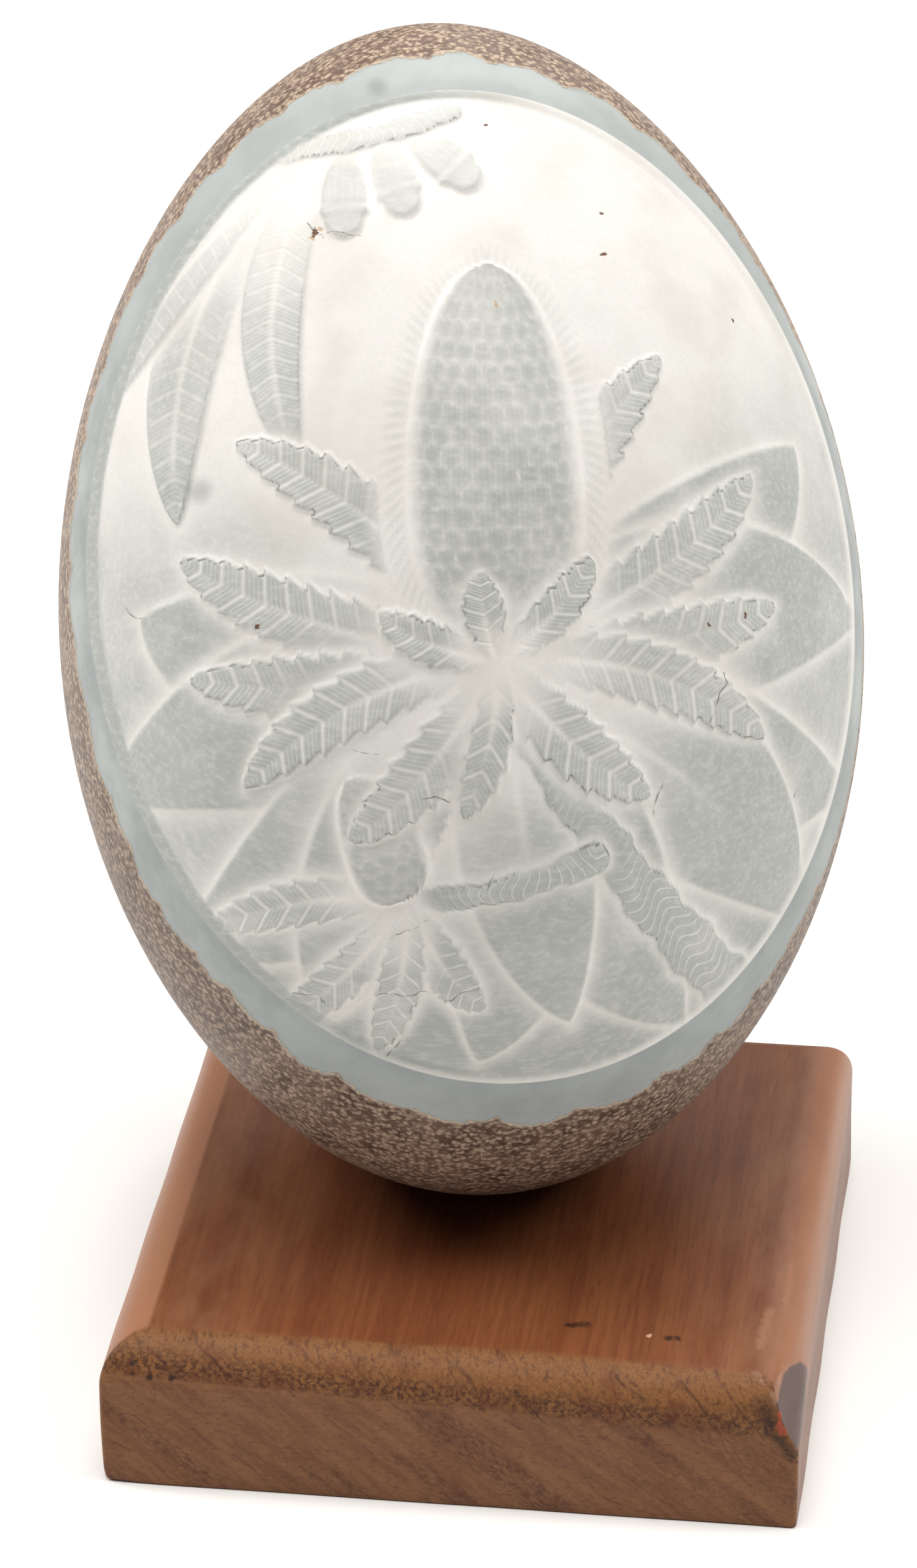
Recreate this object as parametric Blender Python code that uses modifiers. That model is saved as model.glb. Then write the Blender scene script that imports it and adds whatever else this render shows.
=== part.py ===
"""Carved emu egg on its wooden base: two solids, the egg and the block that it sits in.

The egg is turned from a formula for its outline, leans back and a little to the left, and has a
shallow oval panel cut in its front, where the shell is carved. The block has rounded top edges,
mitred where they meet, and a small dished seat that the egg's lower end rests in.
Metres, +Z up, origin at the middle of the block's underside. The front faces -Y.
"""

import math

import bmesh
import bpy
from mathutils import Euler, Matrix, Vector

# Egg: half its length, its radius, and two factors that make its lower end blunter and its ends fuller
EGG_HALF_LENGTH = 0.0643
EGG_RADIUS = 0.0433
EGG_BLUNTNESS = 0.032
EGG_TAPER = -0.057
EGG_CENTRE = Vector((-0.0043, 0.0137, 0.0805))
EGG_LEAN_BACK = math.radians(12.0)
EGG_LEAN_LEFT = math.radians(4.4)
EGG_RINGS = 40
EGG_STEPS = 72

# Oval panel: an ellipse drawn on the egg as seen along one direction, in the egg's own frame
PANEL_TURN = math.radians(15.6)
PANEL_RISE = math.radians(20.9)
PANEL_TWIST = math.radians(4.0)
PANEL_HALF_WIDTH = 0.0402
PANEL_HALF_HEIGHT = 0.0506
PANEL_DEPTH = 0.0005
PANEL_SIDES = 90
PANEL_CUTTER_REACH = 1.5
BISECTIONS = 40

# Base block
BASE_WIDTH = 0.0750
BASE_DEPTH = 0.0735
BASE_HEIGHT = 0.0174
BASE_ROUND_OVER = 0.0050
BASE_ROUND_STEPS = 7

SEAT_GAP = 0.0003
MERGE = 0.00001

SHELL_COLOUR = (0.60, 0.64, 0.63, 1.0)
SHELL_ROUGHNESS = 0.55
WOOD_COLOUR = (0.19, 0.075, 0.035, 1.0)
WOOD_ROUGHNESS = 0.45


def clear_scene():
    """Removes whatever the file opened with."""
    for obj in list(bpy.data.objects):
        bpy.data.objects.remove(obj, do_unlink=True)


def new_collection(name):
    """A collection linked to the scene."""
    collection = bpy.data.collections.new(name)
    bpy.context.scene.collection.children.link(collection)
    return collection


def plain_material(name, colour, roughness):
    """A Principled material of one colour."""
    material = bpy.data.materials.new(name)
    material.use_nodes = True
    shader = material.node_tree.nodes["Principled BSDF"]
    shader.inputs["Base Color"].default_value = colour
    shader.inputs["Roughness"].default_value = roughness
    shader.inputs["Metallic"].default_value = 0.0
    return material


def mesh_object(name, mesh, collection):
    """An object for a mesh, in a collection."""
    obj = bpy.data.objects.new(name, mesh)
    collection.objects.link(obj)
    return obj


def make_cutter(obj):
    """Marks an object as one that only cuts others."""
    obj.hide_render = True
    obj.display_type = "WIRE"
    return obj


def cut_with(obj, cutter):
    """Cuts an object by a cutter."""
    modifier = obj.modifiers.new("cut_" + cutter.name, "BOOLEAN")
    modifier.operation = "DIFFERENCE"
    modifier.solver = "EXACT"
    modifier.object = cutter


def fullness(cosine):
    """How much wider the egg is than a plain ellipsoid, from -1 at its top to 1 at its bottom."""
    return 1.0 + EGG_BLUNTNESS * cosine + EGG_TAPER * cosine ** 2


def egg_outline(offset):
    """Points of the egg's outline from its top to its bottom, moved outwards by an offset."""
    points = []
    for ring in range(EGG_RINGS + 1):
        angle = math.pi * (1.0 - ring / EGG_RINGS)
        radius = (EGG_RADIUS + offset) * math.sin(angle) * fullness(math.cos(angle))
        points.append((radius, 0.0, -(EGG_HALF_LENGTH + offset) * math.cos(angle)))
    points[0] = (0.0, 0.0, points[0][2])
    points[-1] = (0.0, 0.0, points[-1][2])
    return points


def place_with_egg(obj):
    """Puts an object at the egg's place, leaning as the egg leans."""
    lean = Euler((-EGG_LEAN_BACK, -EGG_LEAN_LEFT, 0.0), "XYZ").to_matrix().to_4x4()
    obj.matrix_world = Matrix.Translation(EGG_CENTRE) @ lean


def turned_egg(name, offset, collection):
    """The egg's outline turned about its long axis, with its surface moved outwards by an offset."""
    points = egg_outline(offset)
    mesh = bpy.data.meshes.new(name)
    mesh.from_pydata(points, [(i, i + 1) for i in range(EGG_RINGS)], [])
    obj = mesh_object(name, mesh, collection)
    screw = obj.modifiers.new("turn", "SCREW")
    screw.axis = "Z"
    screw.angle = 2.0 * math.pi
    screw.steps = EGG_STEPS
    screw.render_steps = EGG_STEPS
    screw.use_smooth_shade = True
    screw.use_merge_vertices = True
    screw.merge_threshold = MERGE
    place_with_egg(obj)
    return obj


def panel_frame():
    """The panel's frame in the egg's frame, with its width, its height and its facing as columns."""
    facing = Vector((
        math.sin(PANEL_TURN) * math.cos(PANEL_RISE),
        -math.cos(PANEL_TURN) * math.cos(PANEL_RISE),
        math.sin(PANEL_RISE),
    ))
    across = Vector((math.cos(PANEL_TURN), math.sin(PANEL_TURN), 0.0))
    up = facing.cross(across)
    return Matrix((across, up, facing)).transposed() @ Matrix.Rotation(PANEL_TWIST, 3, "Z")


def inside_egg(point):
    """Whether a point in the egg's frame lies inside the egg."""
    if abs(point.z) >= EGG_HALF_LENGTH:
        return False
    cosine = -point.z / EGG_HALF_LENGTH
    return point.xy.length < EGG_RADIUS * math.sqrt(1.0 - cosine ** 2) * fullness(cosine)


def panel_rim_point(angle):
    """The point of the egg's surface where the panel's ellipse, seen along its facing, meets it."""
    frame = panel_frame()
    across = PANEL_HALF_WIDTH * math.cos(angle)
    up = PANEL_HALF_HEIGHT * math.sin(angle)
    near, far = 0.0, EGG_HALF_LENGTH
    for _ in range(BISECTIONS):
        middle = (near + far) / 2.0
        if inside_egg(frame @ Vector((across, up, middle))):
            near = middle
        else:
            far = middle
    return frame @ Vector((across, up, near))


def panel_cutter(collection):
    """A cone from the egg's middle out through the panel's rim, less the shell left under the panel."""
    mesh = bpy.data.meshes.new("panel_cutter")
    shape = bmesh.new()
    bmesh.ops.create_cone(
        shape, cap_ends=True, cap_tris=True, segments=PANEL_SIDES, radius1=0.0, radius2=1.0, depth=2.0)
    bmesh.ops.remove_doubles(shape, verts=shape.verts, dist=MERGE)
    for vert in shape.verts:
        if vert.co.z < 0.0:
            vert.co = (0.0, 0.0, 0.0)
        elif vert.co.xy.length < 0.5:
            vert.co = panel_frame() @ Vector((0.0, 0.0, PANEL_CUTTER_REACH * EGG_HALF_LENGTH))
        else:
            vert.co = PANEL_CUTTER_REACH * panel_rim_point(math.atan2(vert.co.y, vert.co.x))
    shape.to_mesh(mesh)
    shape.free()
    cutter = make_cutter(mesh_object("panel_cutter", mesh, collection))
    place_with_egg(cutter)
    cut_with(cutter, make_cutter(turned_egg("egg_under_panel", -PANEL_DEPTH, collection)))
    return cutter


def build_egg(parts, cutters):
    """The egg, with its oval panel cut back."""
    egg = turned_egg("emu_egg", 0.0, parts)
    cut_with(egg, panel_cutter(cutters))
    egg.data.materials.append(plain_material("eggshell", SHELL_COLOUR, SHELL_ROUGHNESS))
    return egg


def block_mesh():
    """The block, with its top edges rounded over and mitred at its corners."""
    shape = bmesh.new()
    bmesh.ops.create_cube(shape, size=1.0)
    bmesh.ops.scale(shape, vec=(BASE_WIDTH, BASE_DEPTH, BASE_HEIGHT), verts=shape.verts)
    bmesh.ops.translate(shape, vec=(0.0, 0.0, BASE_HEIGHT / 2.0), verts=shape.verts)
    top_edges = [e for e in shape.edges if min(v.co.z for v in e.verts) > BASE_HEIGHT - MERGE]
    bmesh.ops.bevel(
        shape, geom=top_edges, offset=BASE_ROUND_OVER, segments=BASE_ROUND_STEPS, profile=0.5,
        affect="EDGES")
    mesh = bpy.data.meshes.new("wood_base")
    shape.to_mesh(mesh)
    shape.free()
    return mesh


def build_base(parts, cutters):
    """The wooden block, with the dished seat that the egg sits in."""
    base = mesh_object("wood_base", block_mesh(), parts)
    cut_with(base, make_cutter(turned_egg("seat_cutter", SEAT_GAP, cutters)))
    base.data.materials.append(plain_material("hardwood", WOOD_COLOUR, WOOD_ROUGHNESS))
    return base


def main():
    """Builds both pieces."""
    clear_scene()
    parts = new_collection("carved_emu_egg")
    cutters = new_collection("cutters")
    build_egg(parts, cutters)
    build_base(parts, cutters)
    bpy.context.view_layer.update()


main()
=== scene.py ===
"""Looks of a carved emu egg on its wooden block.

The egg is one closed skin: rings of points laid over the oval panel, which a relief of flowers and
leaves is cut into, then rows out across the bared blue-grey band, its ragged edge and the dark shell
to the far side. The block is one closed skin of rings too, with rounded top edges and a seat for the
egg. EggForm and the studio are in metres, and all other classes are in millimetres.
"""

import logging
import math
from collections.abc import Callable
from dataclasses import dataclass, field
from enum import Enum
from functools import cached_property

import bpy
import numpy as np
from mathutils import Euler, Matrix, Vector


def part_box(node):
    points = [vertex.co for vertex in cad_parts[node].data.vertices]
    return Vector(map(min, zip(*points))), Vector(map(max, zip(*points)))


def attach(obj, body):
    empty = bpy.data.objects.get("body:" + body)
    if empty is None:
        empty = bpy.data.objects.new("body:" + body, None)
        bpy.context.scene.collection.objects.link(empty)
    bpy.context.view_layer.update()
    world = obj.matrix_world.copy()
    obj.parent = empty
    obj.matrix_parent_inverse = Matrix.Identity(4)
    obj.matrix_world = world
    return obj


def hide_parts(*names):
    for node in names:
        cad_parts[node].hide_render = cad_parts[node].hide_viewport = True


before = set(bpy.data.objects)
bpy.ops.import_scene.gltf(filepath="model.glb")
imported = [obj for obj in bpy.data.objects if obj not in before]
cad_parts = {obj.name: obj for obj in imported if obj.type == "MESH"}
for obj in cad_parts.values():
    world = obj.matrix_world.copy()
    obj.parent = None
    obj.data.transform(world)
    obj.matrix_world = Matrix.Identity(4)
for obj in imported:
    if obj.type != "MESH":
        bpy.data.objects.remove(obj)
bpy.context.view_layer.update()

Array = np.ndarray
Point = tuple[float, float]
Place = tuple[float, float, float]
Colour = tuple[float, float, float]
Faces = list[tuple[int, ...]]
Inputs = dict[int | str, object]
MM = 0.001
FULL_TURN = 2.0 * math.pi
BISECTIONS = 40
log = logging.getLogger("carved_emu_egg")


class Stored(Enum):
    """The values stored on the egg's points, in this order, which its carving and its finish read."""

    PANEL_PLACE = "panel_place"
    SHELL_EDGE = "shell_edge"
    GREY_TONE = "grey_tone"
    FINE_LINES = "fine_lines"
    LINE_STRENGTH = "line_strength"
    DEPTH = "depth"
    DARK_SHELL = "dark_shell"


def smooth(low: float, high: float, value: Array) -> Array:
    """Makes a soft step.

    Args:
        low: Where the step starts.
        high: Where the step ends; it may be less than low for a step that falls.
        value: What is stepped.

    Returns:
        0 before low, 1 after high, and a soft rise between.
    """
    share = np.clip((value - low) / (high - low), 0.0, 1.0)
    return share * share * (3.0 - 2.0 * share)


def bell(value: Array, middle: float, width: float) -> Array:
    """A soft hump, 1 at its middle."""
    return np.exp(-((value - middle) / width) ** 2)


def arch(across: Array, fall: float = 0.97) -> Array:
    """A round section, 1 in its middle and nearly 0 at its sides, where across is 1 or -1."""
    return np.sqrt(1.0 - fall * across ** 2)


def bisect(low: Array, high: Array, keeps: Callable[[Array], Array]) -> Array:
    """Halves the gap between two bounds again and again.

    Args:
        low: The lower bounds.
        high: The upper bounds.
        keeps: Says for middles whether the lower bound moves up to them.

    Returns:
        Where the bounds meet.
    """
    for _ in range(BISECTIONS):
        middle = 0.5 * (low + high)
        kept = keeps(middle)
        low = np.where(kept, middle, low)
        high = np.where(kept, high, middle)
    return low


def linear(red: int, green: int, blue: int) -> Colour:
    """The linear values that shaders take, for a colour as seen on a screen from 0 to 255."""
    shares = (channel / 255.0 for channel in (red, green, blue))
    return tuple(share / 12.92 if share <= 0.04045 else ((share + 0.055) / 1.055) ** 2.4 for share in shares)


@dataclass(frozen=True)
class EggForm:
    """The egg's outline and place, from the same driving sizes as the solid's."""

    half_length: float = 0.0643
    radius: float = 0.0433
    bluntness: float = 0.032
    taper: float = -0.057
    centre: Place = (-0.0043, 0.0137, 0.0805)
    lean_back: float = math.radians(12.0)
    lean_left: float = math.radians(4.4)

    def lean(self) -> Array:
        """The egg's turn, as a 3 by 3 matrix from its own frame to the scene's."""
        return np.array(Euler((-self.lean_back, -self.lean_left, 0.0), "XYZ").to_matrix())

    def holds(self, points: Array) -> Array:
        """Tells which points of the egg's own frame lie inside it.

        Args:
            points: The points.

        Returns:
            True for each point inside.
        """
        cosine = -points[:, 2] / self.half_length
        fullness = 1.0 + self.bluntness * cosine + self.taper * cosine ** 2
        limit = self.radius ** 2 * (1.0 - cosine ** 2) * fullness ** 2
        return (points[:, 0] ** 2 + points[:, 1] ** 2 < limit) & (np.abs(points[:, 2]) < self.half_length)

    def reach(self, start: Array, direction: Array) -> Array:
        """Finds where rays leave the egg.

        Args:
            start: Points inside the egg, in its own frame.
            direction: A unit direction for each, or one for all.

        Returns:
            The points of the egg's surface that the rays meet.
        """
        near, far = np.zeros(len(start)), np.full(len(start), 2.0 * self.half_length)
        run = bisect(near, far, lambda middle: self.holds(start + middle[:, None] * direction))
        return start + run[:, None] * direction

    def to_scene(self, points: Array) -> Array:
        """Points of the egg's own frame, placed in the scene."""
        return points @ self.lean().T + np.array(self.centre)

    def underside(self, x: Array, y: Array) -> Array:
        """Finds the height of the egg's underside over points of the floor's plane.

        Args:
            x: The points' places to the right.
            y: The points' places to the back; all are well under the egg.

        Returns:
            The heights.
        """
        def below(height: Array) -> Array:
            """Whether places at these heights lie under the egg."""
            return ~self.holds((np.stack([x, y, height], axis=1) - np.array(self.centre)) @ self.lean())

        return bisect(np.zeros(x.shape), np.full(x.shape, self.centre[2]), below)


@dataclass(frozen=True)
class OvalPanel:
    """The carved oval: an ellipse seen along one direction in the egg's own frame."""

    turn: float = math.radians(15.6)
    rise: float = math.radians(20.9)
    twist: float = math.radians(4.0)
    half_width: float = 40.8
    half_height: float = 51.2

    def axes(self) -> Array:
        """Works out the panel's frame.

        Returns:
            Its width, height and facing as the rows of a matrix, in the egg's own frame.
        """
        across = Vector((math.cos(self.turn), math.sin(self.turn), 0.0))
        forward = Vector((math.sin(self.turn), -math.cos(self.turn), 0.0))
        facing = math.cos(self.rise) * forward + Vector((0.0, 0.0, math.sin(self.rise)))
        columns = Matrix((across, facing.cross(across), facing)).transposed()
        return np.array((columns @ Matrix.Rotation(self.twist, 3, "Z")).transposed())


@dataclass(frozen=True)
class Stroke:
    """A curved line over the panel, pulled towards its bend."""

    start: Point
    bend: Point
    end: Point
    steps: int = 32

    def points(self) -> Array:
        """Works out points along the line.

        Returns:
            One row for each point.
        """
        share = np.linspace(0.0, 1.0, self.steps + 1)[:, None]
        start, bend, end = (np.array(point, dtype=float) for point in (self.start, self.bend, self.end))
        return (1.0 - share) ** 2 * start + 2.0 * share * (1.0 - share) * bend + share ** 2 * end

    def length(self) -> float:
        """The line's length."""
        return float(np.linalg.norm(np.diff(self.points(), axis=0), axis=1).sum())

    def follow(self, x: Array, y: Array) -> tuple[Array, Array, Array]:
        """Measures points against the line.

        Args:
            x: Places across the panel.
            y: Places up the panel.

        Returns:
            How far along the line each lies (0 to 1), how far to its left, and how far from it.
        """
        path = self.points()
        begin, step = path[:-1], np.diff(path, axis=0)
        size = (step ** 2).sum(axis=1)
        best = np.full(x.shape, np.inf)
        along = np.zeros(x.shape)
        side = np.zeros(x.shape)
        for i in range(self.steps):
            dx, dy = x - begin[i, 0], y - begin[i, 1]
            share = np.clip((dx * step[i, 0] + dy * step[i, 1]) / size[i], 0.0, 1.0)
            gap = np.hypot(dx - share * step[i, 0], dy - share * step[i, 1])
            closer = gap < best
            best = np.where(closer, gap, best)
            along = np.where(closer, (i + share) / self.steps, along)
            cross = (step[i, 0] * dy - step[i, 1] * dx) / math.sqrt(size[i])
            side = np.where(closer, cross, side)
        return along, side, best


def radiating(base: Point, degrees: float, length: float, bend: float) -> Stroke:
    """Draws a stroke out from a base.

    Args:
        base: Where it starts.
        degrees: Its direction, counted from the panel's right.
        length: Its length.
        bend: How far its middle is pulled to its left.

    Returns:
        The stroke.
    """
    ahead = np.array((math.cos(math.radians(degrees)), math.sin(math.radians(degrees))))
    left = np.array((-ahead[1], ahead[0]))
    middle = np.array(base) + 0.55 * length * ahead + bend * left
    end = np.array(base) + length * ahead
    return Stroke(base, tuple(middle), tuple(end))


@dataclass
class Cut:
    """What a form carves: its distance inside, its height, fine lines, grey tone and the ground beside it."""

    inside: Array
    height: Array
    lines: Array
    line_strength: Array
    tone: Array
    outside: Array | None = None


def grey_of(height: Array) -> Array:
    """How much of the shell's grey layer is left at a carved height, from 0 to 1."""
    return smooth(0.02, 0.32, height)


@dataclass(frozen=True, kw_only=True)
class Form:
    """A carved form along a spine: how soft its edge is, and how far and deep the ground is cut beside it."""

    spine: Stroke
    half_width: float
    edge: float = 0.17
    halo: float = 1.7
    sink: float = 0.9
    pale_share: float = 0.52

    def near(self, x: Array, y: Array) -> Array:
        """Tells which points the form or its cut ground may reach.

        Args:
            x: Places across the panel.
            y: Places up the panel.

        Returns:
            True for each point in reach.
        """
        path = self.spine.points()
        margin = self.half_width + 4.0 * self.halo
        low, high = path.min(axis=0) - margin, path.max(axis=0) + margin
        return (x > low[0]) & (x < high[0]) & (y > low[1]) & (y < high[1])

    def cut(self, x: Array, y: Array) -> Cut:
        """Carves the form at points of the panel; x is across the panel and y is up it."""
        raise NotImplementedError


@dataclass(frozen=True)
class Leaf(Form):
    """A leaf along a curved midrib, with or without saw teeth."""

    rise: float = 0.7
    fall: float = 0.62
    teeth: int = 0
    bite: float = 0.24
    low: float = 0.12
    high: float = 0.44
    cup: float = 0.07
    tilt: float = 0.05
    veins: int = 10
    vein_slant: float = 1.6
    vein_strength: float = 1.0
    rib_depth: float = 0.15
    rib_width: float = 0.34
    tip_fade: float = 0.5
    fade_start: float = 0.45
    toothed_tone: float = 0.86
    narrowest: float = 0.2

    def cut(self, x: Array, y: Array) -> Cut:
        """Carves the leaf: cupped, lower at its stalk, with a sunk midrib and slanting veins.

        Args:
            x: Places across the panel.
            y: Places up the panel.

        Returns:
            What is carved there.
        """
        along, side, gap = self.spine.follow(x, y)
        peak = self.rise / (self.rise + self.fall)
        scale = peak ** self.rise * (1.0 - peak) ** self.fall
        outline = along ** self.rise * (1.0 - along) ** self.fall / scale
        plain = self.half_width * outline
        half = plain
        count = self.teeth or self.veins
        slant = 0.5 * self.vein_slant * outline
        if self.teeth:
            saw = (along * count - slant) % 1.0
            half = plain * (1.0 - self.bite * (1.0 - saw) * smooth(0.03, 0.15, along))
        across = np.clip(gap / np.maximum(half, self.narrowest), 0.0, 1.5)
        height = self.low + (self.high - self.low) * smooth(0.0, 0.75, along)
        height = height - self.cup * (1.0 - across ** 2)
        height = height + self.tilt * np.clip(side / self.half_width, -1.0, 1.0)
        height = height - self.rib_depth * bell(side, 0.0, self.rib_width) * smooth(1.0, 0.8, along)
        strength = self.vein_strength * smooth(1.0, 0.82, across) * smooth(0.02, 0.12, along)
        spread = np.clip(gap / np.maximum(plain, self.narrowest), 0.0, 1.5)
        tone = grey_of(height) * (1.0 - self.tip_fade * smooth(self.fade_start, 0.0, along))
        tone = tone * (self.toothed_tone if self.teeth else 1.0)
        return Cut(half - gap, height, along * count - spread * slant, strength, tone, gap - plain)


@dataclass(frozen=True)
class Branch(Form):
    """A woody stem along a curve, thicker at its start, with bark lines across it."""

    half_end: float = 1.4
    low: float = 0.16
    dome: float = 0.26
    ring: float = 1.1
    ridge: float = 0.04

    def cut(self, x: Array, y: Array) -> Cut:
        """Carves the stem: round across, with uneven rings of bark.

        Args:
            x: Places across the panel.
            y: Places up the panel.

        Returns:
            What is carved there.
        """
        along, side, gap = self.spine.follow(x, y)
        run = along * self.spine.length()
        half = self.half_width + (self.half_end - self.half_width) * along
        half = half * (1.0 + 0.10 * np.sin(run * 0.9) + 0.06 * np.sin(run * 2.3 + 1.0))
        across = np.clip(np.abs(side) / half, 0.0, 1.0)
        lines = run / self.ring + 0.5 * np.sin(side * 1.3 + run * 0.4) + 0.35 * across ** 2
        height = self.low + self.dome * arch(across)
        height = height + self.ridge * np.cos(FULL_TURN * lines) * (1.0 - across)
        return Cut(half - gap, height, lines, 0.9 * smooth(1.0, 0.8, across), grey_of(height))


@dataclass(frozen=True)
class Spike(Form):
    """A flower spike, round across, covered by rows of overlapping rounded florets."""

    row: float = 2.1
    column: float = 2.5
    low: float = 0.14
    dome: float = 0.32
    lift: float = 0.17
    round_top: float = 3.2
    round_foot: float = 7.0
    row_sag: float = 1.6

    def half_at(self, along: Array) -> Array:
        """Works out half the spike's width.

        Args:
            along: Shares of its length.

        Returns:
            The half widths there.
        """
        outline = np.sqrt(np.clip(1.0 - along ** self.round_top, 0.0, 1.0))
        outline = outline * np.sqrt(np.clip(1.0 - (1.0 - along) ** self.round_foot, 0.0, 1.0))
        return np.maximum(self.half_width * outline, 0.05)

    def floret(self, run: Array, turn: Array) -> Array:
        """The lift of the florets, each raised towards its free upper edge over the row above it.

        Args:
            run: How far up the spike each point lies.
            turn: How far round the spike each point lies.

        Returns:
            The lift above the spike's core.
        """
        lift = np.full(run.shape, -0.5 * self.lift)
        taken = np.zeros(run.shape, dtype=bool)
        first = np.floor(run / self.row) - 2
        for k in range(4):
            number = first + k
            shift = 0.5 * (number % 2.0)
            middle = (np.round(turn / self.column - shift) + shift) * self.column
            off = (turn - middle) / (0.56 * self.column)
            rise = (run - number * self.row) / (1.45 * self.row)
            body = np.clip(rise, 0.0, 1.0)
            bound = 1.0 - np.clip((body - 0.35) / 0.65, 0.0, 1.0) ** 2.2
            held = (rise > 0.0) & (rise < 1.0) & (np.abs(off) < np.sqrt(np.clip(bound, 0.0, 1.0)))
            dome = (0.25 + 0.75 * body) * (1.0 - 0.55 * off ** 2)
            lift = np.where(held & ~taken, self.lift * (dome - 0.25), lift)
            taken |= held
        return lift

    def cut(self, x: Array, y: Array) -> Cut:
        """Carves the spike and its florets, with fine lines up each floret.

        Args:
            x: Places across the panel.
            y: Places up the panel.

        Returns:
            What is carved there.
        """
        along, side, gap = self.spine.follow(x, y)
        half = self.half_at(along)
        across = np.clip(side / half, -1.0, 1.0)
        turn = np.arcsin(across) * self.half_width
        run = along * self.spine.length() - self.row_sag * (1.0 - arch(across, 0.98))
        lift = self.floret(run, turn)
        height = self.low + self.dome * arch(across) + lift * smooth(-0.02, 0.12, 1.0 - np.abs(across))
        tone = 0.95 * smooth(-0.6 * self.lift, 0.55 * self.lift, lift) * smooth(1.0, 0.75, np.abs(across))
        strength = 0.35 * smooth(1.0, 0.7, np.abs(across))
        return Cut(half - gap, height, turn / self.column * 4.0, strength, tone)


@dataclass(frozen=True)
class Fringe(Spike):
    """Fine hooked hairs standing out round a flower spike."""

    depth: float = 3.2
    pitch: float = 0.95
    high: float = 0.2
    hook: float = 0.8

    def cut(self, x: Array, y: Array) -> Cut:
        """Carves the hairs as radiating ridges that fade outwards.

        Args:
            x: Places across the panel.
            y: Places up the panel.

        Returns:
            What is carved there.
        """
        along, _, gap = self.spine.follow(x, y)
        half = self.half_at(along)
        out = np.clip((gap - half) / self.depth, 0.0, 1.0)
        path = self.spine.points()
        ahead = path[-1] - path[0]
        lean = math.atan2(ahead[1], ahead[0])
        middle = 0.5 * (path[0] + path[-1])
        dx, dy = x - middle[0], y - middle[1]
        forward = dx * math.cos(lean) + dy * math.sin(lean)
        sideways = -dx * math.sin(lean) + dy * math.cos(lean)
        angle = np.arctan2(sideways * 1.7, forward)
        lines = angle * self.spine.length() * 0.375 / self.pitch - self.hook * out * np.sign(sideways)
        wave = 0.5 + 0.5 * np.cos(FULL_TURN * lines)
        height = self.high * (1.0 - out) * (0.35 + 0.65 * wave)
        strength = 0.6 * (1.0 - out) * smooth(0.0, 0.3, out)
        return Cut(half + 0.9 * self.depth - gap, height, lines, strength, 0.7 * wave * (1.0 - out))


@dataclass(frozen=True)
class Nut(Form):
    """A small urn-shaped seed case with a rim round its mouth."""

    low: float = 0.18
    dome: float = 0.28
    mouth: float = 0.86
    neck: float = 0.76

    def cut(self, x: Array, y: Array) -> Cut:
        """Carves the case: narrow at its stalk and full in the middle, with a raised rim.

        Args:
            x: Places across the panel.
            y: Places up the panel.

        Returns:
            What is carved there.
        """
        along, side, gap = self.spine.follow(x, y)
        belly = 0.35 + 0.65 * np.sin(math.pi * np.clip(along * 0.72 + 0.02, 0.0, 1.0)) ** 0.8
        half = self.half_width * (belly + 0.12 * bell(along, self.mouth, 0.07))
        across = np.clip(np.abs(side) / half, 0.0, 1.0)
        height = self.low + self.dome * arch(across, 0.95)
        height = height + 0.09 * bell(along, self.mouth, 0.06) - 0.10 * bell(along, self.neck, 0.04)
        strength = 0.5 * smooth(1.0, 0.7, across) * smooth(0.8, 0.6, along)
        return Cut(half - gap, height, side * 1.4, strength, grey_of(height))


@dataclass
class Relief:
    """The panel's carved heights and fine lines, cut from the back to the front."""

    x: Array
    y: Array
    height: Array = field(init=False)
    tone: Array = field(init=False)
    lines: Array = field(init=False)
    line_strength: Array = field(init=False)

    def __post_init__(self) -> None:
        """Starts from a flat ground, with some grey left in soft patches over its lower half."""
        patches = 0.86 + 0.14 * np.sin(0.19 * self.x + 1.2) * np.sin(0.16 * self.y + 0.1 * self.x)
        level = self.y - 16.0 * smooth(12.0, 34.0, np.abs(self.x))
        self.tone = (0.08 + 0.82 * smooth(10.0, -12.0, level)) * patches + 0.35 * smooth(-26.0, -42.0, self.y)
        self.height, self.lines, self.line_strength = (np.zeros(self.x.shape) for _ in range(3))

    def carve(self, form: Form) -> None:
        """Carves one form in front of what is there, with the ground cut down beside it.

        Args:
            form: The form.
        """
        near = form.near(self.x, self.y)
        if not near.any():
            return
        made = form.cut(self.x[near], self.y[near])
        outside = np.maximum(-made.inside if made.outside is None else made.outside, 0.0)
        ditch = 1.0 - form.sink * np.exp(-(outside / form.halo) ** 1.3)
        bare = 1.0 - form.sink * np.exp(-(outside / (form.pale_share * form.halo)) ** 1.3)
        cover = smooth(-form.edge, form.edge, made.inside)
        self.height[near] = self.height[near] * ditch * (1.0 - cover) + made.height * cover
        self.tone[near] = self.tone[near] * bare * (1.0 - cover) + made.tone * cover
        inner = made.inside > 0.0
        fresh = made.line_strength * smooth(0.0, 0.35, made.inside)
        self.lines[near] = np.where(inner, made.lines, self.lines[near])
        self.line_strength[near] = np.where(inner, fresh, self.line_strength[near] * ditch ** 2)


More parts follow.
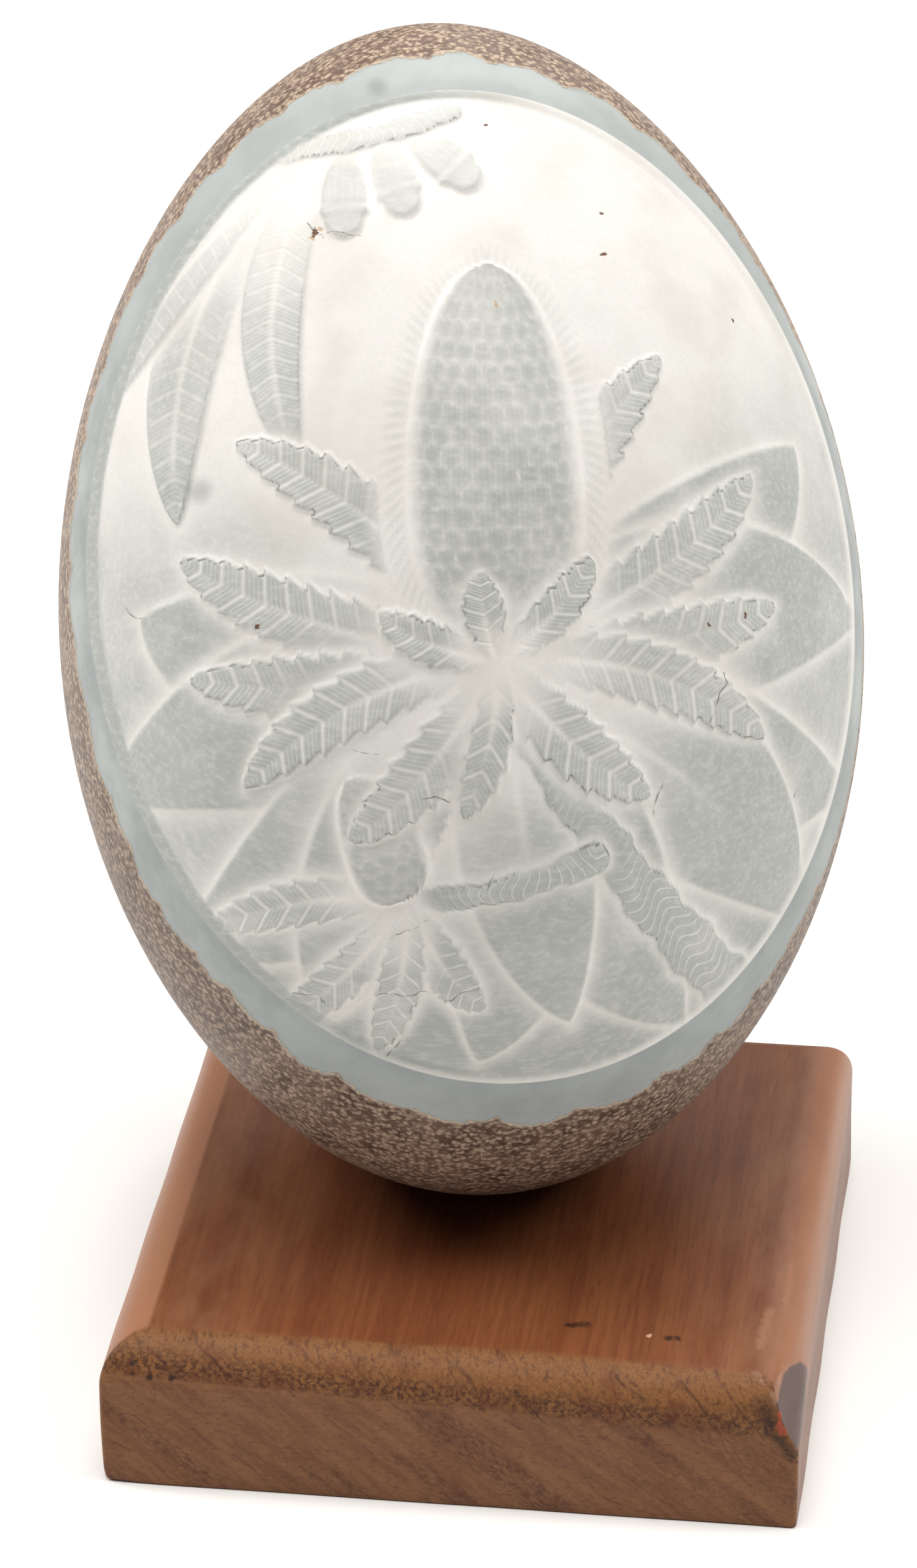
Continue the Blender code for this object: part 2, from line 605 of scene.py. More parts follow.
@dataclass(frozen=True)
class FlowerDesign:
    """The panel's design: a flower spike in a whorl of saw-edged leaves, with a bud, gum leaves and nuts."""

    whorl: Point = (-1.5, -9.0)
    behind: Point = (-1.0, -12.0)
    spike_tip: Point = (4.0, 31.0)
    spike_half: float = 9.6
    bud: Point = (-14.0, -31.0)

    def broad_leaves(self) -> list[Form]:
        """Lists the broad soft leaves behind everything, in low relief.

        Returns:
            The leaves.
        """
        shapes = (
            (157, 38, 5, 9.5, 0.34), (31, 42, -6, 8.5, 0.36), (183, 41, -5, 9.0, 0.40),
            (5, 42, 6, 9.5, 0.40), (208, 40, 6, 9.5, 0.34), (-19, 40, -6, 9.0, 0.36),
            (233, 37, -5, 8.5, 0.40), (-41, 40, 6, 9.5, 0.40), (259, 37, 5, 9.0, 0.36),
            (-66, 39, -6, 9.0, 0.36), (275, 34, -3, 7.0, 0.42))
        return [
            Leaf(edge=0.45, halo=2.6, sink=0.96, spine=radiating(self.behind, degrees, length, bend),
                 half_width=half, rise=0.6, fall=0.8, low=0.08, high=high, cup=0.03, tilt=0.10,
                 rib_depth=0.07, rib_width=0.5, veins=9, vein_strength=0.12, tip_fade=0.4, fade_start=0.5,
                 pale_share=0.45)
            for degrees, length, bend, half, high in shapes]

    def gum_spray(self) -> list[Form]:
        """Lists the sickle leaves and seed cases hanging from the panel's top.

        Returns:
            The leaves, the cases and their twig.
        """
        shapes = (
            ((-12.0, 47.0), (-30.0, 34.0), (-31.0, 11.0), 3.4),
            ((-9.0, 47.0), (-22.0, 33.0), (-18.5, 13.5), 3.1),
            ((-13.0, 46.5), (-29.0, 38.0), (-37.0, 25.0), 2.9))
        leaves: list[Form] = [
            Leaf(spine=Stroke(start, bend, end), half_width=half, rise=0.75, fall=0.7, veins=18,
                 vein_strength=0.55, high=0.38)
            for start, bend, end, half in shapes]
        stalks = (((-4.0, 46.0), (-3.2, 39.6)), ((-8.0, 45.5), (-9.4, 38.6)), ((-0.5, 46.5), (3.6, 41.2)))
        cases: list[Form] = [
            Nut(spine=Stroke(base, (0.5 * (base[0] + tip[0]), 0.5 * (base[1] + tip[1])), tip), half_width=2.3)
            for base, tip in stalks]
        line = Stroke((-16.0, 48.5), (-6.0, 46.0), (4.0, 48.5))
        return leaves + cases + [Branch(edge=0.3, spine=line, half_width=1.4, half_end=1.1, ridge=0.02)]

    def saw_leaves(self, base: Point, shapes: tuple[Place, ...], **sizes: float) -> list[Form]:
        """Lists saw-edged leaves round a base, each from its direction, length and bend; sizes go to all."""
        return [Leaf(spine=radiating(base, *shape), **sizes) for shape in shapes]

    def flower(self) -> list[Form]:
        """Lists the large spike with its fringe, and the leaves behind it.

        Returns:
            The forms.
        """
        core = Stroke((self.whorl[0] + 0.5, self.whorl[1] + 2.0), (1.0, 11.0), self.spike_tip)
        shapes = ((130, 35, -4), (52, 36, 4), (151, 34, 5), (27, 34, -5))
        return self.saw_leaves(self.whorl, shapes, half_width=3.6, teeth=13) + [
            Fringe(spine=core, half_width=self.spike_half, sink=0.6),
            Spike(spine=core, half_width=self.spike_half)]

    def stems(self) -> list[Form]:
        """Lists the branch from the lower right, and its side twig with the bud.

        Returns:
            The forms.
        """
        trunk = Stroke((22.0, -46.0), (6.0, -32.0), (-2.0, -10.0))
        twig = Stroke((6.0, -30.0), (-4.0, -33.0), self.bud)
        core = Stroke(self.bud, (-15.5, -26.0), (-18.0, -18.0))
        shapes = ((176, 20, -2), (62, 15, 2), (213, 18, 3), (-60, 14, -2), (253, 15, 2))
        return [
            Branch(spine=trunk, half_width=3.2, half_end=1.7),
            Branch(spine=twig, half_width=1.5, half_end=1.1),
            *self.saw_leaves(self.bud, shapes, half_width=2.5, teeth=9),
            Spike(spine=core, half_width=4.2, row=1.7, column=2.0)]

    def front_leaves(self) -> list[Form]:
        """Lists the leaves round the spike's foot, in front of it.

        Returns:
            The leaves.
        """
        shapes = (
            (172, 31, 4), (196, 28, -5), (4, 31, -4), (-22, 30, 5), (221, 23, 3), (-48, 21, -3),
            (249, 16, 2), (150, 13, 2), (38, 14, -2), (94, 9, 1))
        return [
            Leaf(spine=radiating(self.whorl, degrees, length, bend), half_width=3.5 if length > 20 else 2.4,
                 teeth=max(6, int(0.4 * length)), high=0.47)
            for degrees, length, bend in shapes]

    def forms(self) -> list[Form]:
        """Every form, from the back to the front."""
        return self.broad_leaves() + self.gum_spray() + self.flower() + self.stems() + self.front_leaves()


def store(mesh: bpy.types.Mesh, name: Stored, values: Array) -> None:
    """Stores a number, or a vector where the values have three columns, for each point of a mesh.

    Args:
        mesh: The mesh.
        name: What is stored.
        values: One row for each point.
    """
    kind, key = ("FLOAT", "value") if values.ndim == 1 else ("FLOAT_VECTOR", "vector")
    attribute = mesh.attributes.new(name.value, kind, "POINT")
    attribute.data.foreach_set(key, np.ascontiguousarray(values).ravel())


def join_rows(counts: list[int], start: int = 0, upward: bool = False) -> Faces:
    """Joins rows of points into a skin; a row may be one point, or have half as many as the row before.

    Args:
        counts: How many points each row has.
        start: The first row's first point.
        upward: Whether the rows climb rather than sink, which turns the faces over.

    Returns:
        The faces.
    """
    faces: Faces = []
    for count, following in zip(counts, counts[1:]):
        after = start + count
        if count == 2 * following:
            for k in range(following):
                a, b, c = (start + (2 * k + step) % count for step in range(3))
                p, q = after + k, after + (k + 1) % following
                faces += [(a, p, b), (b, p, q), (b, q, c)]
        else:
            for i in range(max(count, following)):
                j = i + 1
                corners = (start + i % count, after + i % following, after + j % following, start + j % count)
                faces.append(tuple(dict.fromkeys(corners)))
        start = after
    return [(face[0], *face[:0:-1]) for face in faces] if upward else faces


def new_object(name: str, points: Array, faces: Faces) -> bpy.types.Object:
    """Makes a smooth-shaded object in the scene.

    Args:
        name: Its name.
        points: Its points, in metres.
        faces: Its faces, as rows of point numbers.

    Returns:
        The object, at the origin.
    """
    mesh = bpy.data.meshes.new(name)
    mesh.from_pydata(points.tolist(), [], faces)
    mesh.shade_smooth()
    obj = bpy.data.objects.new(name, mesh)
    bpy.context.scene.collection.objects.link(obj)
    return obj


@dataclass(frozen=True)
class Value:
    """A number, vector or colour that nodes work out, which takes part in sums as a plain one does."""

    pen: "NodeSketch"
    socket: bpy.types.NodeSocket

    def __add__(self, other: object) -> "Value":
        """The sum."""
        return self.pen.sums("ADD", self, other)

    def __sub__(self, other: object) -> "Value":
        """The difference."""
        return self.pen.sums("SUBTRACT", self, other)

    def __mul__(self, other: object) -> "Value":
        """The product; a vector is scaled."""
        return self.pen.sums("MULTIPLY", self, other)

    def __truediv__(self, other: object) -> "Value":
        """The quotient."""
        return self.pen.sums("DIVIDE", self, other)

    def __abs__(self) -> "Value":
        """The size without the sign."""
        return self.pen.sums("ABSOLUTE", self)

    def split(self) -> list["Value"]:
        """The vector's three parts."""
        made = self.pen.node("ShaderNodeSeparateXYZ", {0: self})
        return [Value(self.pen, socket) for socket in made.outputs]


class NodeSketch:
    """Writes nodes into a tree, so that a finish reads as a list of steps."""

    def __init__(self, tree: bpy.types.NodeTree) -> None:
        """Keeps the tree."""
        self.tree = tree

    def node(self, kind: str, inputs: Inputs | None = None, **settings: object) -> bpy.types.Node:
        """Adds a node.

        Args:
            kind: Its type.
            inputs: What goes into its sockets, by their number or name.
            settings: Its own settings.

        Returns:
            The node.
        """
        made = self.tree.nodes.new(kind)
        for name, value in settings.items():
            setattr(made, name, value)
        for key, value in (inputs or {}).items():
            self.feed(made.inputs[key], value)
        return made

    def feed(self, socket: bpy.types.NodeSocket, value: object) -> None:
        """Links a socket to what is worked out, or sets it to a number or a colour.

        Args:
            socket: The socket.
            value: A Value, another node's socket, or a plain number, vector or colour.
        """
        source = value.socket if isinstance(value, Value) else value
        if isinstance(source, bpy.types.NodeSocket):
            self.tree.links.new(source, socket)
        elif socket.type == "RGBA":
            socket.default_value = (*source, 1.0)
        else:
            socket.default_value = source

    def sums(self, operation: str, first: object, second: object = 0.0, clamp: bool = False) -> Value:
        """Does a sum on one or two numbers or vectors.

        Args:
            operation: Which sum.
            first: The first of them.
            second: The second.
            clamp: Whether a number is kept from 0 to 1.

        Returns:
            What comes out.
        """
        vectors = [isinstance(item, tuple) or isinstance(item, Value) and item.socket.type == "VECTOR"
                   for item in (first, second)]
        if operation == "MULTIPLY" and vectors == [True, False]:
            made = self.node("ShaderNodeVectorMath", {0: first, "Scale": second}, operation="SCALE")
        elif any(vectors):
            made = self.node("ShaderNodeVectorMath", {0: first, 1: second}, operation=operation)
        else:
            made = self.node("ShaderNodeMath", {0: first, 1: second}, operation=operation, use_clamp=clamp)
        return Value(self, made.outputs[0])

    def measure(self, operation: str, first: object, second: object) -> Value:
        """The DISTANCE or DOT_PRODUCT of two vectors."""
        made = self.node("ShaderNodeVectorMath", {0: first, 1: second}, operation=operation)
        return Value(self, made.outputs["Value"])

    def step(self, value: object, low: float, high: float, start: float = 0.0, end: float = 1.0) -> Value:
        """Makes a soft step.

        Args:
            value: What is stepped.
            low: Where the step starts; it may be more than high.
            high: Where the step ends.
            start: What comes out before the step.
            end: What comes out after it.

        Returns:
            The step.
        """
        limits = (high, low, end, start) if high < low else (low, high, start, end)
        made = self.node(
            "ShaderNodeMapRange", dict(enumerate((value, *limits))), interpolation_type="SMOOTHSTEP")
        return Value(self, made.outputs[0])

    def mix(self, share: object, low: object, high: object) -> Value:
        """Mixes two colours."""
        made = self.node("ShaderNodeMix", {0: share, 6: low, 7: high}, data_type="RGBA", blend_type="MIX")
        return Value(self, made.outputs[2])

    def tint(self, base: object, colour: object, value: object, low: float, high: float,
             strength: float = 1.0) -> Value:
        """Lays a colour over a base where a value goes from low to high, as strongly as the strength says."""
        return self.mix(self.step(value, low, high, 0.0, strength), base, colour)

    def noise(self, scale: float, detail: float = 2.0, roughness: float = 0.5, place: object = None) -> Value:
        """Noise of about 0.5 over the piece, or over another place, with its scale in waves for each unit."""
        inputs = {"Vector": place or self.mm, "Scale": scale, "Detail": detail, "Roughness": roughness}
        return Value(self, self.node("ShaderNodeTexNoise", inputs).outputs[0])

    def shaken(self, place: Value, scales: tuple[float, ...], reach: float, detail: float = 2.0,
               middle: float = 0.5) -> Value:
        """Moves places about by noise, so that what is drawn there wavers.

        Args:
            place: The places.
            scales: The noise's scale for each direction.
            reach: How far the noise moves them.
            detail: The noise's detail.
            middle: The noise that leaves a place where it is.

        Returns:
            The moved places.
        """
        moved = self.join(*(self.noise(scale, detail, place=place) for scale in scales))
        rest = tuple(middle if k < len(scales) else 0.0 for k in range(3))
        return place + (moved - rest) * reach

    def cells(self, place: object, scale: float) -> tuple[Value, Value]:
        """Round cells: how far each place is from its cell's middle, and a number that is the cell's own."""
        made = self.node("ShaderNodeTexVoronoi", {"Vector": place, "Scale": scale})
        return Value(self, made.outputs["Distance"]), Value(self, made.outputs["Color"]).split()[0]

    def away(self, place: Value, start: Place, end: Place) -> Value:
        """Measures how far places are from a straight line.

        Args:
            place: The places.
            start: The line's start.
            end: The line's end.

        Returns:
            The distances.
        """
        line = Vector(end) - Vector(start)
        offset = place - start
        share = self.measure("DOT_PRODUCT", offset, tuple(line / line.length_squared))
        nearest = self.sums("MULTIPLY", tuple(line), self.sums("ADD", share, 0.0, clamp=True))
        return self.measure("DISTANCE", offset, nearest)

    def stored(self, name: Stored) -> Value:
        """Reads a value stored on the mesh."""
        made = self.node("ShaderNodeAttribute", attribute_name=name.value)
        return Value(self, made.outputs["Vector" if name is Stored.PANEL_PLACE else "Fac"])

    def join(self, *parts: object) -> Value:
        """A vector of two or three parts."""
        return Value(self, self.node("ShaderNodeCombineXYZ", dict(enumerate(parts))).outputs[0])

    @cached_property
    def mm(self) -> Value:
        """Each place on the piece, in millimetres."""
        return Value(self, self.node("ShaderNodeTexCoord").outputs["Object"]) * (1.0 / MM)

    def bump(self, height: object) -> Value:
        """A surface normal tilted by a height in millimetres."""
        made = self.node("ShaderNodeBump", {"Height": height, "Distance": MM, "Strength": 1.0})
        return Value(self, made.outputs[0])


def new_finish(name: str) -> tuple[bpy.types.Material, NodeSketch, bpy.types.Node]:
    """Starts a material.

    Args:
        name: Its name.

    Returns:
        The material, what writes its nodes, and its Principled shader.
    """
    material = bpy.data.materials.new(name)
    material.use_nodes = True
    tree = material.node_tree
    return material, NodeSketch(tree), tree.nodes["Principled BSDF"]


@dataclass(frozen=True)
class ShellFinish:
    """The egg's layers: dark flecked shell, blue-grey band, and the pale carved panel."""

    brown: Colour = linear(106, 83, 70)
    mauve: Colour = linear(124, 103, 93)
    foot_shade_brown: Colour = linear(73, 51, 40)
    fleck: Colour = linear(208, 183, 158)
    foot_shade_fleck: Colour = linear(178, 155, 134)
    cream: Colour = linear(202, 184, 163)
    green_line: Colour = linear(116, 120, 102)
    band: Colour = linear(154, 159, 159)
    band_pale_and_lit: Colour = linear(178, 183, 181)
    band_shade: Colour = linear(144, 151, 151)
    deep: Colour = linear(237, 234, 229)
    deep_warm: Colour = linear(226, 221, 214)
    deep_grain: Colour = linear(222, 220, 215)
    raised: Colour = linear(172, 176, 171)
    bruise: Colour = linear(112, 120, 114)
    stain: Colour = linear(108, 66, 38)
    hair: Colour = linear(92, 84, 70)
    tan: Colour = linear(190, 150, 104)
    granule_scale: float = 1.45
    band_smudge: Place = (-2.9, 52.6, 0.0)
    panel_smudge: Place = (-28.4, 14.0, 0.0)
    pins: tuple[Place, ...] = (
        (7.3, 46.7, 0.3), (17.5, 35.2, 0.3), (16.7, 30.8, 0.38), (30.5, 23.2, 0.22),
        (21.4, -8.4, 0.28), (25.6, -7.8, 0.26), (-24.7, -1.2, 0.32), (-12.5, 37.9, 0.40),
        (-12.3, 38.3, 0.24), (-12.8, 37.6, 0.22))
    flakes: tuple[Place, ...] = (
        (-11.8, 38.3, 0.34), (-13.0, 37.3, 0.28), (-12.0, 37.2, 0.2), (4.1, 26.4, 0.2), (4.1, 26.8, 0.16))
    hairlines: tuple[tuple[float, float, float, float], ...] = (
        (-12.9, 38.9, -12.3, 38.0), (-12.2, 37.7, -10.4, 37.1), (-10.4, 37.1, -8.2, 36.2),
        (-17.8, -15.4, -14.9, -16.4), (-11.2, -21.2, -8.0, -21.8), (-6.4, -31.6, -3.6, -29.2),
        (-16.0, -34.9, -11.9, -33.4), (-26.4, -38.2, -22.8, -39.0), (-17.8, -40.1, -15.0, -40.3),
        (-15.0, -40.3, -10.8, -41.4), (-10.8, -41.4, -7.6, -40.7), (-17.2, -45.9, -14.8, -43.6),
        (20.4, -17.8, 22.4, -13.6), (12.8, -26.6, 14.2, -23.0), (28.9, -28.4, 30.2, -25.2),
        (-37.3, 4.6, -36.0, 2.6))

    def spots(self, pen: NodeSketch, plane: Value, places: tuple[Place, ...]) -> object:
        """Marks small round spots.

        Args:
            pen: What writes the nodes.
            plane: The place on the panel.
            places: Each spot's place across and up the panel, and its radius.

        Returns:
            How much each place is inside one of them.
        """
        total: object = 0.0
        for x, y, size in places:
            far = pen.measure("DISTANCE", plane, (x, y, 0.0))
            total = pen.sums("MAXIMUM", total, pen.step(far, size, 0.5 * size))
        return total

    def hairs(self, pen: NodeSketch, plane: Value) -> Value:
        """Marks the fine dark lines, which come and go along their length.

        Args:
            pen: What writes the nodes.
            plane: The place on the panel.

        Returns:
            How much each place is on one of them.
        """
        total: object = 0.0
        for x0, y0, x1, y1 in self.hairlines:
            far = pen.away(plane, (x0, y0, 0.0), (x1, y1, 0.0))
            total = pen.sums("MAXIMUM", total, pen.step(far, 0.10, 0.0))
        return total * pen.step(pen.noise(0.9, place=plane), 0.38, 0.62, 0.05, 0.75)

    def dark_shell(self, pen: NodeSketch, fray: Value) -> tuple[Value, Value]:
        """The dark outer shell: mauve-brown with pale flecks, closer and darker towards the egg's foot, where
        the darkening is painted shade.

        Args:
            pen: What writes the nodes.
            fray: The distance past the ragged edge.

        Returns:
            Its colour, and how much each place is a fleck.
        """
        # Painted shade: the shell's brown and flecks turn to darker colours towards the egg's foot.
        low = pen.step(pen.mm.split()[2], 120.0, 46.0)
        away, own = pen.cells(pen.shaken(pen.mm, (1.3, 1.5, 1.7), 0.8, middle=0.0), self.granule_scale)
        fleck = pen.step(pen.noise(2.6, 3.0) * 0.7 + away, 1.09, 0.50) * pen.step(own, 0.0, 0.6, 0.45)
        darker = pen.mix(low, self.brown, self.foot_shade_brown)
        ground = pen.tint(darker, pen.mix(low, self.mauve, self.brown), pen.noise(0.2, 3.0), 0.36, 0.62)
        ground = pen.tint(ground, darker, pen.noise(4.2, 3.0, 0.6), 0.36, 0.66, 0.5)
        shell = pen.mix(fleck * 0.9, ground, pen.mix(low, self.fleck, self.foot_shade_fleck))
        lip = pen.step(fray, 0.62, 0.0) * pen.step(pen.noise(0.45, 2.0), 0.34, 0.56, 0.4, 0.9)
        return pen.mix(lip, shell, self.cream), fleck

    def bared_band(self, pen: NodeSketch, plane: Value, rim: Value, fray: Value) -> Value:
        """The blue-grey band: smeared, lighter towards the ragged edge, with painted shade on the rim's bevel
        and towards the egg's foot, and a painted highlight towards its top.

        Args:
            pen: What writes the nodes.
            plane: The place on the panel's plane.
            rim: The distance past the panel's rim.
            fray: The distance past the ragged edge.

        Returns:
            Its colour.
        """
        height = pen.mm.split()[2]
        band = pen.tint(self.band, self.band_pale_and_lit, pen.noise(0.14, 4.0, 0.6), 0.34, 0.66)
        band = pen.tint(band, self.band_pale_and_lit, pen.noise(1.3, 3.0, 0.6), 0.35, 0.70, 0.25)
        band = pen.tint(band, self.band_pale_and_lit, fray, -2.0, -0.1, 0.35)
        # Painted shade on the rim's bevel: darker towards the panel's rim.
        band = pen.tint(band, self.band_shade, rim, 1.9, 0.5, 0.18)
        line = pen.step(pen.noise(0.32, 1.0), 0.44, 0.62, 0.0, 0.3)
        line = pen.step(fray, -0.36, -0.14) * line * pen.step(fray, 0.02, -0.08)
        band = pen.mix(line, band, self.green_line)
        # Painted highlight towards the egg's top, and painted shade towards its foot.
        band = pen.tint(band, self.band_pale_and_lit, height, 96.0, 132.0, 0.5)
        band = pen.tint(band, self.band_shade, height, 80.0, 34.0, 0.5)
        return pen.tint(band, self.bruise, pen.measure("DISTANCE", plane, self.band_smudge), 1.7, 0.2, 0.45)

    def carved_panel(self, pen: NodeSketch, plane: Value) -> tuple[Value, Value]:
        """The carved panel: white where it is cut deep, grey-green where the grey layer is left.

        Args:
            pen: What writes the nodes.
            plane: The place on the panel.

        Returns:
            Its colour, and how deep its fine lines and small pits are.
        """
        x, y, z = pen.mm.split()
        lines, line_strength = pen.stored(Stored.FINE_LINES), pen.stored(Stored.LINE_STRENGTH)
        near = abs(pen.sums("FRACT", lines + 0.5) - 0.5)
        hatch = abs(pen.sums("FRACT", lines * 5.0) - 0.5)
        scratch = pen.step(near, 0.14, 0.02) * line_strength
        pale = pen.sums("MAXIMUM", scratch, pen.step(hatch, 0.32, 0.12) * (line_strength * 0.30))
        mottle = pen.noise(0.13, 4.0, 0.6) * 0.8 - 0.4
        tone = pen.sums("ADD", pen.stored(Stored.GREY_TONE) * (mottle + 1.0), mottle * 0.28, clamp=True)
        tone = tone * (pale * -0.66 + 1.0)
        white = pen.tint(self.deep, self.deep_warm, pen.noise(0.09, 3.0), 0.42, 0.66)
        white = pen.tint(white, self.deep_grain, pen.noise(3.0, 4.0, 0.7), 0.40, 0.64, 0.4)
        carved = pen.mix(tone, white, self.raised)
        strokes = pen.noise(1.6, 4.0, 0.65, pen.join(x * 0.35, y, z))
        carved = pen.tint(carved, self.deep, strokes, 0.44, 0.66, 0.22)
        smudge = pen.measure("DISTANCE", plane, self.panel_smudge)
        carved = pen.tint(carved, self.bruise, smudge, 1.9, 0.2, 0.4)
        hairs = self.hairs(pen, pen.shaken(plane, (0.28, 0.33), 2.4, detail=1.5))
        ragged = pen.shaken(plane, (0.9, 1.3), 1.2)
        pits = self.spots(pen, ragged, self.pins)
        carved = pen.mix(hairs, carved, self.hair)
        carved = pen.mix(self.spots(pen, ragged, self.flakes) * 0.75, carved, self.tan)
        carved = pen.mix(pits, carved, self.stain)
        return carved, pale * -0.05 + pen.sums("MAXIMUM", hairs, pits) * -0.1

    def build(self) -> bpy.types.Material:
        """Builds the material.

        Returns:
            The material.
        """
        material, pen, shader = new_finish("egg_layers")
        plane_x, plane_y, rim = pen.stored(Stored.PANEL_PLACE).split()
        plane = pen.join(plane_x, plane_y)
        fray = pen.noise(0.8, 3.5, 0.6) * 1.3 + (pen.stored(Stored.SHELL_EDGE) - 0.65)
        outer = pen.step(fray, -0.05, 0.06)
        inside = pen.step(rim, 0.08, -0.08)

        shell, fleck = self.dark_shell(pen, fray)
        carved, cuts = self.carved_panel(pen, plane)
        colour = pen.mix(outer, self.bared_band(pen, plane, rim, fray), shell)
        pen.feed(shader.inputs["Base Color"], pen.mix(inside, colour, carved))
        pen.feed(shader.inputs["Roughness"], outer * -0.06 + (pen.noise(0.5, 3.0) * 0.16 + 0.48))
        shader.inputs["Coat Weight"].default_value = 0.03
        shader.inputs["Coat Roughness"].default_value = 0.25
        grit = pen.noise(4.5) * 0.05 + fleck * 0.09
        grind = pen.noise(2.2, 3.0) * 0.008
        pen.feed(shader.inputs["Normal"], pen.bump(grit * outer + cuts * inside + grind))
        return material


class CarvingTree:
    """The Geometry Nodes tree that cuts the skin in by its stored depth and pebbles the dark shell."""

    INPUTS = {"Pebble Height": "NodeSocketFloat", "Pebble Size": "NodeSocketFloat", "Seed": "NodeSocketFloat",
              "Finish": "NodeSocketMaterial"}

    def __init__(self) -> None:
        """Builds the tree."""
        self.tree = bpy.data.node_groups.new("cut_and_pebble", "GeometryNodeTree")
        face = self.tree.interface
        face.new_socket("Skin", in_out="INPUT", socket_type="NodeSocketGeometry")
        face.new_socket("Skin", in_out="OUTPUT", socket_type="NodeSocketGeometry")
        self.sockets = {name: face.new_socket(name, in_out="INPUT", socket_type=kind).identifier
                        for name, kind in self.INPUTS.items()}
        self._wire()

    def _wire(self) -> None:
        """Adds the tree's nodes and links."""
        pen = NodeSketch(self.tree)
        given = pen.node("NodeGroupInput").outputs

        def first(kind: str, inputs: Inputs | None = None, **settings: object) -> Value:
            """The first output of a new node."""
            return Value(pen, pen.node(kind, inputs, **settings).outputs[0])

        depth, dark = (first("GeometryNodeInputNamedAttribute", {"Name": name.value}, data_type="FLOAT")
                       for name in (Stored.DEPTH, Stored.DARK_SHELL))
        inputs = {"Vector": first("GeometryNodeInputPosition"), "W": given["Seed"], "Detail": 1.0,
                  "Scale": pen.sums("DIVIDE", 1.0, given["Pebble Size"])}
        noise = first("ShaderNodeTexNoise", inputs, noise_dimensions="4D")
        offset = first("GeometryNodeInputNormal") * ((noise - 1.0) * given["Pebble Height"] * dark - depth)
        moved = first("GeometryNodeSetPosition", {"Geometry": given["Skin"], "Offset": offset})
        realized = first("GeometryNodeRealizeInstances", {0: moved})
        painted = first("GeometryNodeSetMaterial", {"Geometry": realized, "Material": given["Finish"]})
        pen.node("NodeGroupOutput", {0: painted})

    def apply(self, obj: bpy.types.Object, **values: object) -> None:
        """Runs the tree on an object and keeps its result as the object's plain mesh.

        Args:
            obj: The object.
            values: The tree's inputs, with their names in small letters and joined by underscores.
        """
        modifier = obj.modifiers.new("carve", "NODES")
        modifier.node_group = self.tree
        for name, identifier in self.sockets.items():
            modifier[identifier] = values[name.lower().replace(" ", "_")]
        bpy.context.view_layer.update()
        baked = bpy.data.meshes.new_from_object(obj.evaluated_get(bpy.context.evaluated_depsgraph_get()))
        obj.modifiers.remove(modifier)
        obj.data = baked
        baked.name = obj.name


